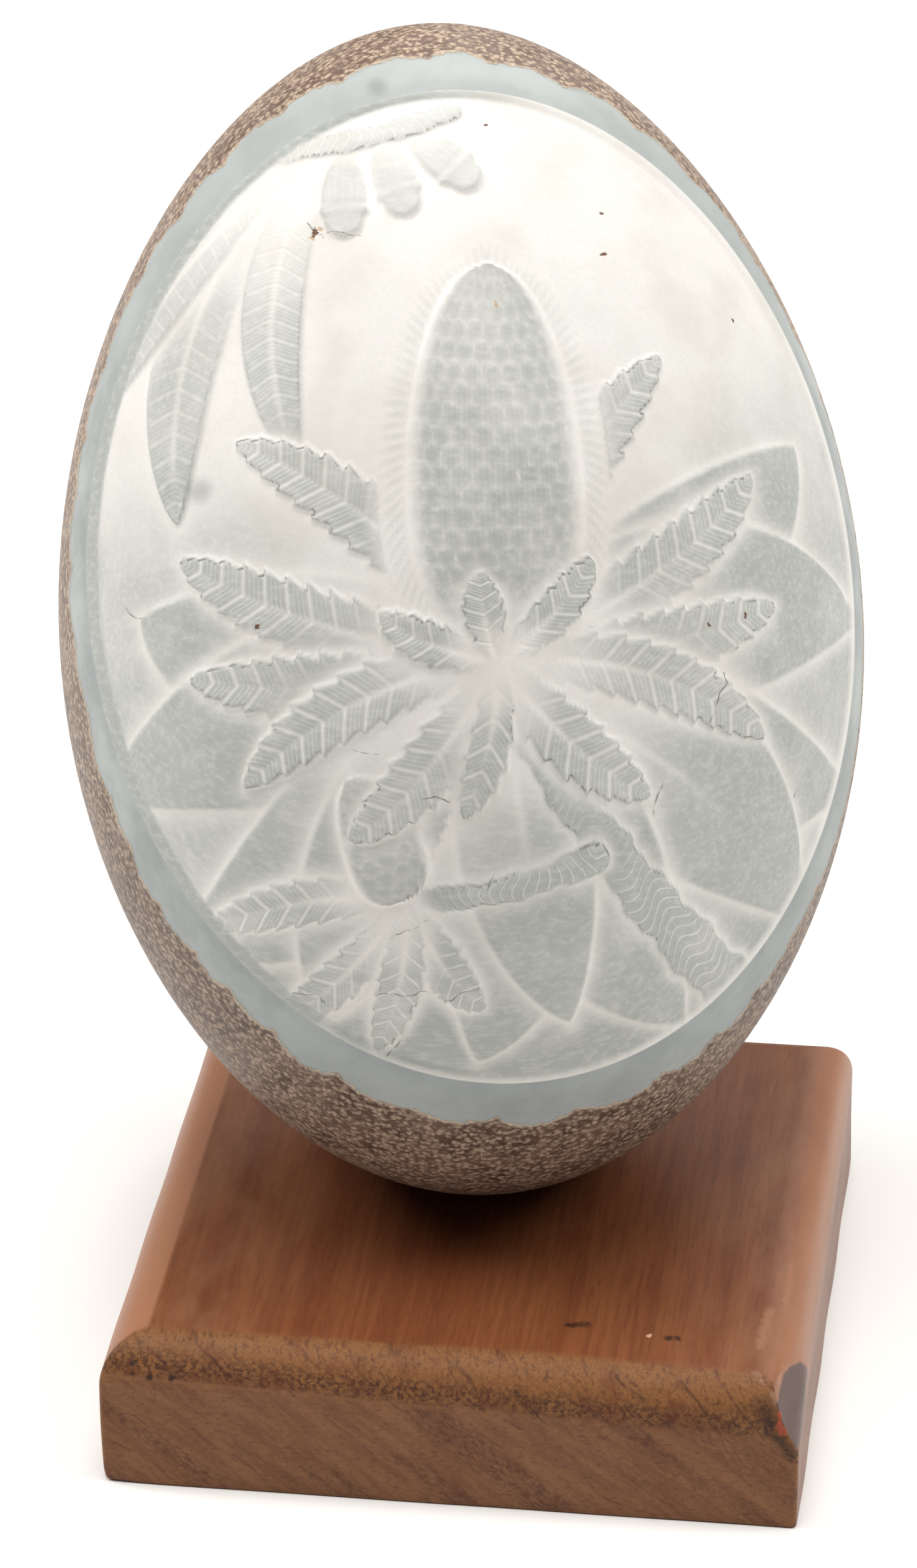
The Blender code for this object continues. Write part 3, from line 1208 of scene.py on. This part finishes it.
@dataclass
class CarvedEgg:
    """The egg: its skin of rings, the panel's relief, the band and the ragged edge of the dark shell."""

    form: EggForm = field(default_factory=EggForm)
    panel: OvalPanel = field(default_factory=OvalPanel)
    design: FlowerDesign = field(default_factory=FlowerDesign)
    disc_rings: int = 144
    disc_curve: float = 0.9
    band_rows: int = 20
    band_step: float = 0.43
    near_rows: int = 20
    far_rows: int = 30
    back_spread: float = 1.2
    path_samples: int = 150
    band_width: float = 5.9
    band_swells: tuple[Point, ...] = ((54.0, -1.3), (318.0, 0.9), (262.0, 0.5), (176.0, -1.1))
    swell_spread: float = math.radians(26.0)
    scallops: int = 40
    scallop_seed: int = 8
    scallop_depth: float = 1.9
    shell_step: float = 0.17
    band_slope: float = 0.06
    rim_bevel: float = 0.13
    ground_depth: float = 0.86
    border: float = 2.2
    far_away: float = 99.0
    pebble_height: float = 0.06
    pebble_size: float = 1.4
    pebble_seed: float = 3.0

    def ragged_width(self, angle: Array) -> Array:
        """Works out the width of the bared band, whose edge runs in arcs that meet in points.

        Args:
            angle: Angles round the panel.

        Returns:
            The widths there.
        """
        rng = np.random.default_rng(self.scallop_seed)
        spans = rng.uniform(0.62, 1.4, self.scallops)
        swells = rng.uniform(0.4, 1.2, self.scallops)
        leans = rng.uniform(0.75, 1.3, self.scallops)
        ends = np.concatenate(([0.0], np.cumsum(spans))) * (FULL_TURN / spans.sum())
        turn = np.mod(angle, FULL_TURN)
        lobe = np.clip(np.searchsorted(ends, turn, side="right") - 1, 0, self.scallops - 1)
        along = np.clip((turn - ends[lobe]) / (ends[lobe + 1] - ends[lobe]), 0.0, 1.0)
        arc = swells[lobe] * np.sin(math.pi * along ** leans[lobe]) ** 0.7
        drift = 0.25 * np.sin(9.0 * angle) + 0.2 * np.sin(17.0 * angle + 1.0)
        for middle, gain in self.band_swells:
            off = np.angle(np.exp(1j * (angle - math.radians(middle))))
            drift = drift + gain * bell(off, 0.0, self.swell_spread)
        return self.band_width + drift + self.scallop_depth * (arc - 0.5)

    def disc(self) -> tuple[Array, Array, Faces]:
        """The rings of points over the panel.

        Returns:
            Their places across and up the panel, and the triangles between them.
        """
        places = [(0.0, 0.0)]
        faces: Faces = []
        for ring in range(1, self.disc_rings + 1):
            share = math.sin(self.disc_curve * ring / self.disc_rings) / math.sin(self.disc_curve)
            angle = FULL_TURN * np.arange(6 * ring) / (6 * ring)
            across = self.panel.half_width * share * np.cos(angle)
            places += list(zip(across, self.panel.half_height * share * np.sin(angle)))
            outer, inner = 1 + 3 * ring * (ring - 1), 1 + 3 * (ring - 1) * (ring - 2)
            outer_count, inner_count = 6 * ring, 6 * (ring - 1)
            for sector in range(6):
                for i in range(ring):
                    a = outer + sector * ring + i
                    b = outer + (sector * ring + i + 1) % outer_count
                    c = inner + (sector * (ring - 1) + i) % inner_count if ring > 1 else 0
                    faces.append((c, a, b))
                    if i < ring - 1:
                        faces.append((c, b, inner + (sector * (ring - 1) + i + 1) % inner_count))
        spots = np.array(places)
        return spots[:, 0], spots[:, 1], faces

    def outer_rows(self, rim: Array, angle: Array) -> tuple[list[Array], list[Array], list[Array]]:
        """The rows of points from the panel's rim to the far side.

        Args:
            rim: The rim's points, in the egg's frame.
            angle: Their angles round the panel.

        Returns:
            Each row's points, their distances from the rim in millimetres, and their angles.
        """
        facing = self.panel.axes()[2]
        flat = rim - np.outer(rim @ facing, facing)
        reach = np.linalg.norm(flat, axis=1)
        outward = flat / reach[:, None]
        start = np.arctan2(reach, rim @ facing)
        count = len(rim)
        shares = np.linspace(0.0, 1.0, self.path_samples)
        sweep = (start[:, None] + (math.pi - start)[:, None] * shares)[..., None]
        ways = (np.cos(sweep) * facing + np.sin(sweep) * outward[:, None, :]).reshape(-1, 3)
        path = self.form.reach(np.zeros_like(ways), ways).reshape(count, self.path_samples, 3)
        run = np.linalg.norm(np.diff(path, axis=1), axis=2).cumsum(axis=1) / MM
        run = np.concatenate([np.zeros((count, 1)), run], axis=1)
        rows, distances, angles = [], [], []
        band_end = self.band_rows * self.band_step
        total = self.near_rows + self.far_rows
        for row in range(1, self.band_rows + total):
            if row <= self.band_rows:
                stride, target = 1, np.full(count, row * self.band_step)
            else:
                k = row - self.band_rows
                stride = 2 if k <= self.near_rows else 4
                target = band_end + (run[:, -1] - band_end) * (k / total) ** self.back_spread
            picks = np.arange(0, count, stride)
            spots = np.array([
                [np.interp(target[i], run[i], path[i, :, axis]) for axis in range(3)] for i in picks])
            rows.append(self.form.reach(np.zeros_like(spots), spots / np.linalg.norm(spots, axis=1)[:, None]))
            distances.append(target[picks])
            angles.append(angle[picks])
        return rows, distances, angles

    def skin(self) -> tuple[Array, Array, Array, Faces]:
        """The whole skin before it is carved.

        Returns:
            Its points in the egg's frame, their distances past the rim (below 0 over the panel), the
            distances past the ragged edge, and the faces.
        """
        x, y, faces = self.disc()
        wide, high = self.panel.half_width, self.panel.half_height
        axes = self.panel.axes()
        points = self.form.reach((np.outer(x, axes[0]) + np.outer(y, axes[1])) * MM, axes[2])
        angle = np.arctan2(y, x)
        rim_distance = np.hypot(x / wide, y / high) - 1.0
        rim_distance = rim_distance * (wide * high / np.hypot(high * np.cos(angle), wide * np.sin(angle)))
        rim = slice(len(x) - 6 * self.disc_rings, len(x))
        rows, distances, angles = self.outer_rows(points[rim], angle[rim])
        pole, pole_distance = self.form.reach(np.zeros((1, 3)), -axes[2][None, :]), [self.far_away]
        faces += join_rows([6 * self.disc_rings, *map(len, rows), 1], rim.start)
        outer = np.concatenate(distances)
        return (np.concatenate([points, *rows, pole]), np.concatenate([rim_distance, outer, pole_distance]),
                np.concatenate([rim_distance - self.ragged_width(angle),
                                outer - self.ragged_width(np.concatenate(angles)), pole_distance]), faces)

    def tone_with_wall_shade(self, part: Relief, rim: Array) -> Array:
        """Paints shade as grey tone on the carved panel's left and upper wall, which faces away from the
        light, and leaves the rest of it white.

        Args:
            part: The panel's relief.
            rim: Its points' distances past the rim.

        Returns:
            The grey tone, which also fades towards the panel's top.
        """
        shaded = 0.35 * part.y / self.panel.half_height - 0.9 * part.x / self.panel.half_width
        shaded = smooth(-0.1, 0.6, shaded)
        # Painted shade: grey tone on the wall where it faces away from the light.
        wall = smooth(-0.95, -0.5, rim) * shaded
        tone = part.tone * smooth(95.0, -5.0, part.y) * (shaded + (1.0 - shaded) * smooth(0.0, 0.7, -rim))
        return tone * (1.0 - wall) + 1.2 * wall

    def build(self, finish: bpy.types.Material) -> bpy.types.Object:
        """Builds the egg.

        Args:
            finish: Its material.

        Returns:
            The finished object.
        """
        points, rim, ragged, faces = self.skin()
        axes = self.panel.axes()
        relief = Relief(points @ axes[0] / MM, points @ axes[1] / MM)
        inner = rim <= 0.0
        part = Relief(relief.x[inner], relief.y[inner])
        for form in self.design.forms():
            part.carve(form)
        border = smooth(0.0, self.border, -rim[inner])
        relief.height[inner] = part.height * border
        relief.tone[inner] = self.tone_with_wall_shade(part, rim[inner])
        relief.lines[inner] = part.lines
        relief.line_strength[inner] = part.line_strength * border

        depth = self.shell_step * smooth(0.35, -0.25, ragged)
        depth = depth + self.band_slope * smooth(6.0, 0.5, rim) + self.rim_bevel * smooth(1.9, 0.0, rim)
        entry = smooth(0.0, 0.8, -rim)
        depth = np.where(inner, depth * (1.0 - entry) + (self.ground_depth - relief.height) * entry, depth)

        egg = new_object("carved_egg", self.form.to_scene(points), faces)
        place, dark = np.stack([relief.x, relief.y, rim], axis=1), smooth(0.3, 1.5, ragged)
        values = (place, ragged, relief.tone, relief.lines, relief.line_strength, depth * MM, dark)
        for name, rows in zip(Stored, values):
            store(egg.data, name, rows)
        CarvingTree().apply(egg, pebble_height=self.pebble_height * MM, pebble_size=self.pebble_size * MM,
                            seed=self.pebble_seed, finish=finish)
        return egg


class Stain(Enum):
    """What a small mark on the block shows."""

    # Rubbed wood in the marks, and painted sheen along the block's left and right top edges.
    WORN_AND_SHEEN = linear(182, 130, 100)
    MITRE = linear(150, 118, 96)
    SOOT = linear(40, 25, 19)
    RED_WOOD = linear(158, 72, 48)
    PALE_DOT = linear(206, 168, 136)


@dataclass(frozen=True)
class Mark:
    """A mark along a short line: its ends, radius, softness (0 to 1), strength and stain."""

    start: Place
    end: Place
    radius: float
    soft: float
    strength: float
    stain: Stain


@dataclass(frozen=True)
class WoodFinish:
    """Reddish-brown hardwood under thin worn varnish, with its grain running from front to back."""

    base: Colour = linear(107, 53, 25)
    dark: Colour = linear(96, 46, 24)
    light: Colour = linear(129, 75, 42)
    greyed_and_sheen: Colour = linear(154, 108, 79)
    golden: Colour = linear(123, 78, 42)
    golden_light: Colour = linear(137, 92, 52)
    golden_dark: Colour = linear(70, 38, 25)
    front: Colour = linear(124, 80, 51)
    front_dark: Colour = linear(76, 41, 32)
    front_light: Colour = linear(143, 99, 65)
    patch: Colour = linear(84, 64, 58)
    ring_pitch: float = 3.6
    slant_sine: float = 0.64
    slant_cosine: float = 0.77
    line_level: float = 12.5
    patch_back: float = 31.7
    patch_level: float = 12.6
    patch_half_length: float = 6.3
    patch_half_height: float = 3.4
    marks: tuple[Mark, ...] = (
        Mark((33.0, -21.5, 17.4), (32.5, -28.5, 17.4), 0.9, 1.0, 0.4, Stain.WORN_AND_SHEEN),
        Mark((34.6, -12.0, 16.9), (34.5, -19.5, 16.9), 0.6, 1.0, 0.35, Stain.WORN_AND_SHEEN),
        Mark((35.3, -30.5, 16.7), (35.2, -35.2, 16.0), 0.45, 0.8, 0.6, Stain.WORN_AND_SHEEN),
        Mark((32.2, -32.8, 17.4), (35.1, -35.7, 15.4), 0.42, 0.9, 0.6, Stain.MITRE),
        Mark((33.6, -35.9, 14.9), (34.4, -36.6, 13.4), 1.9, 0.98, 0.8, Stain.SOOT),
        Mark((35.0, -36.7, 11.8), (36.7, -36.8, 9.6), 1.3, 0.95, 0.85, Stain.SOOT),
        Mark((35.3, -36.1, 14.8), (35.8, -36.7, 12.4), 0.42, 0.6, 0.9, Stain.RED_WOOD),
        Mark((35.5, -36.6, 13.3), (35.8, -36.8, 12.2), 0.6, 0.6, 0.85, Stain.RED_WOOD),
        Mark((36.2, -36.8, 11.0), (36.3, -36.8, 10.8), 0.3, 0.6, 0.8, Stain.RED_WOOD),
        Mark((12.0, -26.8, 17.4), (13.8, -26.5, 17.4), 0.8, 0.7, 0.9, Stain.SOOT),
        Mark((22.6, -28.1, 17.4), (23.8, -28.0, 17.4), 0.6, 0.7, 0.95, Stain.SOOT),
        Mark((7.4, -36.0, 15.1), (10.4, -36.8, 11.5), 0.3, 0.9, 0.6, Stain.SOOT),
        Mark((20.7, -27.7, 17.4), (20.75, -27.7, 17.4), 0.36, 0.6, 0.9, Stain.PALE_DOT))
    holes: tuple[Place, ...] = (
        (-33.6, -35.9, 15.2), (-33.7, -36.5, 14.1), (-31.8, -36.5, 13.8), (-29.4, -36.5, 13.9))

    def worn_patch(self, pen: NodeSketch, towards: Value) -> Value:
        """Marks the dull oval at the front end of the right round-over.

        Args:
            pen: What writes the nodes.
            towards: How much each place faces the front or the back.

        Returns:
            How much each place is on the oval.
        """
        x, y, z = pen.mm.split()
        along = (y + self.patch_back) / self.patch_half_length
        upward = (z - self.patch_level) / self.patch_half_height
        far = pen.measure("DISTANCE", pen.join(along, upward), (0.0, 0.0, 0.0))
        far = pen.noise(0.5, 3.0) * 0.3 + far
        return pen.step(far, 1.17, 1.09) * pen.step(x, 33.0, 34.0) * pen.step(towards, 0.62, 0.5, 0.0, 0.92)

    def marked(self, pen: NodeSketch, towards: Value, wood: Value) -> Value:
        """Adds the worn oval, the small marks and the holes.

        Args:
            pen: What writes the nodes.
            towards: How much each place faces the front or the back.
            wood: The wood's colour.

        Returns:
            The colour with its marks.
        """
        rough = pen.shaken(pen.mm, (1.1, 0.9, 1.3), 1.3)
        uneven = pen.step(pen.noise(1.6, 4.0, 0.65), 0.30, 0.60, 0.35, 1.0)
        wood = pen.mix(self.worn_patch(pen, towards), wood, self.patch)
        for mark in self.marks:
            far = pen.away(rough, mark.start, mark.end)
            share = pen.step(far, mark.radius, mark.radius * (1.0 - mark.soft), 0.0, mark.strength)
            share = share * uneven if mark.stain in (Stain.SOOT, Stain.RED_WOOD) else share
            wood = pen.mix(share, wood, mark.stain.value)
        for hole in self.holes:
            far = pen.measure("DISTANCE", rough, hole)
            wood = pen.tint(wood, Stain.SOOT.value, far, 0.46, 0.15, 0.9)
        return wood

    def build(self) -> bpy.types.Material:
        """Builds the material.

        Returns:
            The material.
        """
        material, pen, shader = new_finish("varnished_hardwood")
        x, y, z = pen.mm.split()
        facing = Value(pen, pen.node("ShaderNodeNewGeometry").outputs["Normal"]).split()
        towards = abs(facing[1])

        def grain(lengthwise: float, scale: float, detail: float, roughness: float = 0.5) -> Value:
            """Noise drawn out along the block's grain, from front to back."""
            return pen.noise(scale, detail, roughness, pen.join(x, y * lengthwise, z))

        across = x * self.slant_sine + z * self.slant_cosine
        along = x * self.slant_cosine + z * -self.slant_sine

        def slanted(lengthwise: float, scale: float, detail: float, roughness: float = 0.5) -> Value:
            """Noise drawn out along the year rings where they cross the block's ends."""
            return pen.noise(scale, detail, roughness, pen.join(along * lengthwise, y * 0.25, across))

        sway = grain(0.03, 0.05, 2.0) * 8.0 + grain(0.03, 0.4, 2.0) * 1.2
        ring = abs(pen.sums("FRACT", (across + sway) / self.ring_pitch) - 0.5)
        broken = pen.step(ring, 0.42, 0.5) * pen.step(slanted(0.5, 0.7, 3.0), 0.42, 0.66)
        fine = pen.noise(3.4, 4.0, 0.7)
        pores = grain(0.14, 2.6, 1.5)

        wood: object = self.base
        for noise, low, high, strength, colour in (
                (grain(0.03, 0.16, 3.0), 0.34, 0.64, 1.0, self.light),
                (grain(0.05, 1.5, 4.0, 0.62), 0.40, 0.66, 0.6, self.dark),
                (grain(0.06, 3.6, 3.0, 0.6), 0.46, 0.66, 0.4, self.light),
                (grain(0.03, 0.6, 2.0), 0.52, 0.68, 0.35, self.dark),
                (fine, 0.36, 0.66, 0.25, self.light), (pores, 0.62, 0.72, 0.45, self.dark)):
            wood = pen.tint(wood, colour, noise, low, high, strength)
        cloudy = pen.step(grain(0.4, 0.22, 4.0, 0.62), 0.36, 0.66, 0.25, 1.0)
        # Greyer in random clouds, and lighter towards the top's sides as a painted sheen, which leaves its
        # middle darker.
        wood = pen.mix((pen.step(abs(x - 3.0), 14.0, 33.0, 0.0, 0.42) + 0.04) * cloudy, wood, self.greyed_and_sheen)
        # Painted sheen: paler colour along the block's left and right top edges and round-overs.
        edges = pen.sums("MAXIMUM", pen.step(x, -32.3, -32.9, 0.0, 0.6), pen.step(x, 31.5, 36.5, 0.0, 0.6))
        wood = pen.mix(edges * pen.step(z, 8.0, 14.0), wood, Stain.WORN_AND_SHEEN.value)

        level = x * 0.033 + z
        soft_level = pen.noise(0.9, 4.0, 0.6) * 2.6 + (level - 1.3)
        crowd = pen.step(level, 16.2, 14.2) * pen.step(soft_level, 12.0, 13.2)
        dense = pen.step(pen.noise(1.9, 4.0, 0.65), 0.44, 0.58, 0.0, 0.85) * crowd
        flecks = pen.step(slanted(0.6, 2.6, 4.0, 0.65), 0.48, 0.66, 0.0, 0.6)
        golden = pen.tint(self.golden, self.golden_light, fine, 0.36, 0.64)
        golden = pen.mix(pen.sums("MAXIMUM", flecks, dense), golden, self.golden_dark)
        golden = pen.tint(golden, self.dark, slanted(0.6, 0.3, 3.0, 0.6), 0.48, 0.66, 0.45)
        golden = pen.mix(broken * 0.8, golden, self.golden_dark)
        fading = pen.step(x, 8.0, 34.0, 0.0, 0.5) * pen.noise(0.8, 4.0, 0.6)
        wood = pen.tint(wood, golden, towards - fading, 0.0, 0.2)

        end = pen.tint(self.front, self.front_light, slanted(0.2, 0.55, 3.0), 0.38, 0.64)
        end = pen.tint(end, self.front, fine, 0.36, 0.64, 0.5)
        end = pen.tint(end, self.front_light, slanted(0.12, 1.6, 3.0, 0.6), 0.42, 0.66, 0.45)
        bands = pen.step(slanted(0.10, 0.20, 2.0), 0.44, 0.58, 0.15, 0.95)
        bands = bands * pen.step(slanted(0.4, 2.6, 4.0, 0.7), 0.36, 0.72, 0.1, 0.9)
        end = pen.mix(pen.sums("MAXIMUM", bands, broken * 0.5), end, self.front_dark)
        specks = pen.noise(2.4, 4.0, 0.7, pen.join(x * 0.5, y, z))
        end = pen.tint(end, self.front_dark, specks, 0.50, 0.68, 0.5)
        wood = pen.mix(pen.step(towards, 0.80, 0.97) * pen.step(soft_level, 13.5, 11.8), wood, end)
        lip = pen.step(abs(level - self.line_level), 0.3, 0.05, 0.0, 0.35) * pen.step(x, 20.0, -5.0)
        wood = pen.mix(lip * pen.step(towards, 0.8, 0.97), wood, self.front_light)
        pen.feed(shader.inputs["Base Color"], self.marked(pen, towards, wood))

        sheen = pen.noise(0.12, 3.0) * 0.16 + 0.44
        pen.feed(shader.inputs["Roughness"], pen.step(towards, 0.05, 0.7) * 0.18 + sheen)
        shader.inputs["Specular IOR Level"].default_value = 0.3
        pen.feed(shader.inputs["Coat Weight"], pen.step(abs(facing[0]), 0.45, 1.0, 0.04, 0.4))
        shader.inputs["Coat Roughness"].default_value = 0.35
        pen.feed(shader.inputs["Normal"], pen.bump(pores * -0.03 + fine * 0.03 + dense * -0.04))
        return material


@dataclass
class WoodBlock:
    """The block: rings of points from the middle of its underside, up its sides and in over its top."""

    corner: float = 0.6
    foot_round: float = 0.35
    foot_steps: int = 3
    round_over: float = 5.0
    round_drop: float = 5.2
    seat_gap: float = 0.3
    seat_reach: float = 16.0
    flat_facing: Place = (0.888, -0.157, 0.433)
    flat_reach: float = 43.3
    worn_corner: Place = (0.15, 0.1, 0.18)
    worn_reach: Place = (3.2, 3.2, 1.1)
    waver: float = 0.06
    points_per_side: int = 56
    corner_steps: int = 6
    bottom_rings: int = 5
    side_rings: int = 10
    round_rings: int = 16
    top_rings: int = 44

    def ring(self, half_x: float, half_y: float, corner: float) -> Array:
        """Lays one rounded square of points round the block's upright axis, seen from above.

        Args:
            half_x: Half its width.
            half_y: Half its depth.
            corner: Its corners' radius.

        Returns:
            The points.
        """
        corner = min(corner, half_x, half_y)
        inner = np.array((half_x - corner, half_y - corner))
        centres = [inner * sign for sign in ((1, 1), (-1, 1), (-1, -1), (1, -1))]
        shares = (np.arange(self.points_per_side) / self.points_per_side)[:, None]
        spots = []
        for quarter in range(4):
            angles = np.radians(90.0 * (quarter + np.arange(self.corner_steps + 1) / self.corner_steps))
            arc = centres[quarter] + corner * np.column_stack([np.cos(angles), np.sin(angles)])
            side = centres[(quarter + 1) % 4] - centres[quarter]
            spots += [arc[:-1], arc[-1] + shares * side]
        return np.concatenate(spots)

    def levels(self, half: float, tall: float) -> list[Place]:
        """Lists the rings from the underside's middle to the top's.

        Args:
            half: Half the block's shorter side.
            tall: The block's height.

        Returns:
            Each ring's inset, height and corner radius.
        """
        foot, over, corner = self.foot_round, self.round_over, self.corner
        shoulder = tall - self.round_drop

        def shares(count: int) -> Array:
            """Even shares up to 1."""
            return np.arange(1, count + 1) / count

        rings = [(half + (foot - half) * share, 0.0, corner) for share in shares(self.bottom_rings)]
        rings += [(foot * (1.0 - math.sin(angle)), foot * (1.0 - math.cos(angle)), corner)
                  for angle in 0.5 * math.pi * shares(self.foot_steps)]
        rings += [(0.0, foot + (shoulder - foot) * share, corner) for share in shares(self.side_rings)]
        rings += [(over * (1.0 - math.cos(angle)), shoulder + self.round_drop * math.sin(angle), corner)
                  for angle in 0.5 * math.pi * shares(self.round_rings)]
        rings += [(over + (half - over) * share, tall, corner * (1.0 - share))
                  for share in shares(self.top_rings)[:-1]]
        return rings

    def wear(self, points: Array, half_x: float, half_y: float) -> Array:
        """Softens the front left foot, cuts the front right corner's worn flat and wavers the faces slightly.

        Args:
            points: The block's points.
            half_x: Half its width.
            half_y: Half its depth.

        Returns:
            The worn points.
        """
        facing = np.array(self.flat_facing)
        over = np.maximum(points @ facing - self.flat_reach, 0.0)
        worn = points - over[:, None] * facing
        x, y, z = points.T
        from_foot = (points + np.array((half_x, half_y, 0.0))) / np.array(self.worn_reach)
        worn += np.exp(-(from_foot ** 2).sum(axis=1))[:, None] * np.array(self.worn_corner)
        side = smooth(half_x - 1.0, half_x, np.abs(x)) * np.sign(x)
        front = smooth(half_y - 1.0, half_y, np.abs(y)) * np.sign(y)
        worn[:, 0] -= side * self.waver * (1.0 + np.sin(0.31 * y + 0.8) * np.cos(0.4 * z))
        worn[:, 1] -= front * self.waver * (1.0 + np.sin(0.27 * x) * np.cos(0.5 * z + 1.0))
        return worn

    def build(self, egg: EggForm, finish: bpy.types.Material) -> bpy.types.Object:
        """Builds the block.

        Args:
            egg: The egg whose underside the seat is cut to.
            finish: The block's material.

        Returns:
            The finished object.
        """
        low, high = (np.array(corner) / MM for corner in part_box("wood_base"))
        half_x, half_y = 0.5 * (high[:2] - low[:2])
        middle = 0.5 * (low[:2] + high[:2])
        tall = high[2]
        stacks = [np.array([(*middle, 0.0)])]
        rings = self.levels(min(half_x, half_y), tall)
        for inset, level, corner in rings:
            ring = self.ring(half_x - inset, half_y - inset, corner) + middle
            stacks.append(np.column_stack([ring, np.full(len(ring), level)]))
        stacks.append(np.array([(*middle, tall)]))
        points = np.concatenate(stacks)
        near = (points[:, 2] > tall - 0.01) & (np.hypot(points[:, 0], points[:, 1]) < self.seat_reach)
        seat = egg.underside(points[near, 0] * MM, points[near, 1] * MM) / MM - self.seat_gap
        points[near, 2] = np.minimum(points[near, 2], seat)
        points = self.wear(points, half_x, half_y)
        block = new_object("wood_block", points * MM, join_rows([len(row) for row in stacks], upward=True))
        block.data.materials.append(finish)
        return block


@dataclass(frozen=True)
class Studio:
    """The camera, floor, lights and surroundings."""

    eye: Place = (0.07713, -0.55605, 0.37755)
    right: Place = (0.99077, 0.13489, -0.01368)
    up: Place = (-0.05329, 0.48018, 0.87555)
    back: Place = (0.12467, -0.86674, 0.48293)
    lens: float = 137.93
    floor_half: float = 30.0
    floor_colour: Colour = linear(244, 243, 241)
    white: Colour = (1.0, 0.99, 0.97)
    glow: float = 0.08
    sky_place: Place = (0.0, -0.12, 1.0)
    sky_spread: float = math.radians(38.0)
    sky_power: float = 1.9
    soft_lights: tuple[tuple[str, Place, Place, float, float], ...] = (
        ("left_side", (-0.7, 0.0, 0.75), (0.0, 0.0, 0.09), 0.4, 5.7),
        ("right_side", (0.7, 0.0, 0.75), (0.0, 0.0, 0.09), 0.4, 4.0),
        ("rear", (0.2, 1.0, 0.9), (0.1, 0.6, 0.0), 0.9, 7.5))

    def camera(self) -> None:
        """Places the camera where the photograph was taken from."""
        data = bpy.data.cameras.new("camera")
        data.lens = self.lens
        data.sensor_width = 36.0
        data.sensor_fit = "AUTO"
        data.clip_start = 0.01
        data.clip_end = 20.0
        camera = bpy.data.objects.new("camera", data)
        turn = Matrix((self.right, self.up, self.back)).transposed().to_4x4()
        camera.matrix_world = Matrix.Translation(self.eye) @ turn
        bpy.context.scene.collection.objects.link(camera)
        bpy.context.scene.camera = camera

    def floor(self) -> None:
        """Lays a plain pale floor."""
        signs = np.array([(-1.0, -1.0, 0.0), (1.0, -1.0, 0.0), (1.0, 1.0, 0.0), (-1.0, 1.0, 0.0)])
        floor = new_object("floor", signs * self.floor_half, [(0, 1, 2, 3)])
        material, pen, shader = new_finish("pale_floor")
        pen.feed(shader.inputs["Base Color"], self.floor_colour)
        pen.feed(shader.inputs["Roughness"], 0.9)
        floor.data.materials.append(material)

    def lamp(self, name: str, kind: str, place: Place, aim: Place, power: float) -> bpy.types.Light:
        """Hangs a lamp.

        Args:
            name: Its name.
            kind: AREA or SUN.
            place: Where it hangs.
            aim: The point that it faces.
            power: Its power.

        Returns:
            Its data, for its shape to be set.
        """
        data = bpy.data.lights.new(name, kind)
        data.energy = power
        data.color = self.white
        lamp = bpy.data.objects.new(name, data)
        lamp.location = place
        lamp.rotation_euler = (Vector(aim) - Vector(place)).to_track_quat("-Z", "Y").to_euler()
        bpy.context.scene.collection.objects.link(lamp)
        return data

    def build(self) -> None:
        """Sets up the whole studio."""
        self.camera()
        self.floor()
        world = bpy.data.worlds.new("surroundings")
        world.use_nodes = True
        background = world.node_tree.nodes["Background"]
        background.inputs["Color"].default_value = (1.0, 1.0, 1.0, 1.0)
        background.inputs["Strength"].default_value = self.glow
        bpy.context.scene.world = world
        bpy.context.scene.view_settings.view_transform = "Standard"
        self.lamp("sky", "SUN", self.sky_place, (0.0, 0.0, 0.0), self.sky_power).angle = self.sky_spread
        for name, place, aim, size, power in self.soft_lights:
            data = self.lamp(name, "AREA", place, aim, power)
            data.shape = "SQUARE"
            data.size = size


def main() -> None:
    """Builds the egg, the block and the studio, in that order."""
    logging.basicConfig(level=logging.INFO, format="%(name)s: %(message)s")
    egg = CarvedEgg()
    egg_piece = egg.build(ShellFinish().build())
    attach(egg_piece, "root")
    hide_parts("emu_egg")
    log.info("%s: %d points", egg_piece.name, len(egg_piece.data.vertices))
    block_piece = WoodBlock().build(egg.form, WoodFinish().build())
    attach(block_piece, "root")
    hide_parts("wood_base")
    log.info("%s: %d points", block_piece.name, len(block_piece.data.vertices))
    Studio().build()


if __name__ == "__main__":
    main()
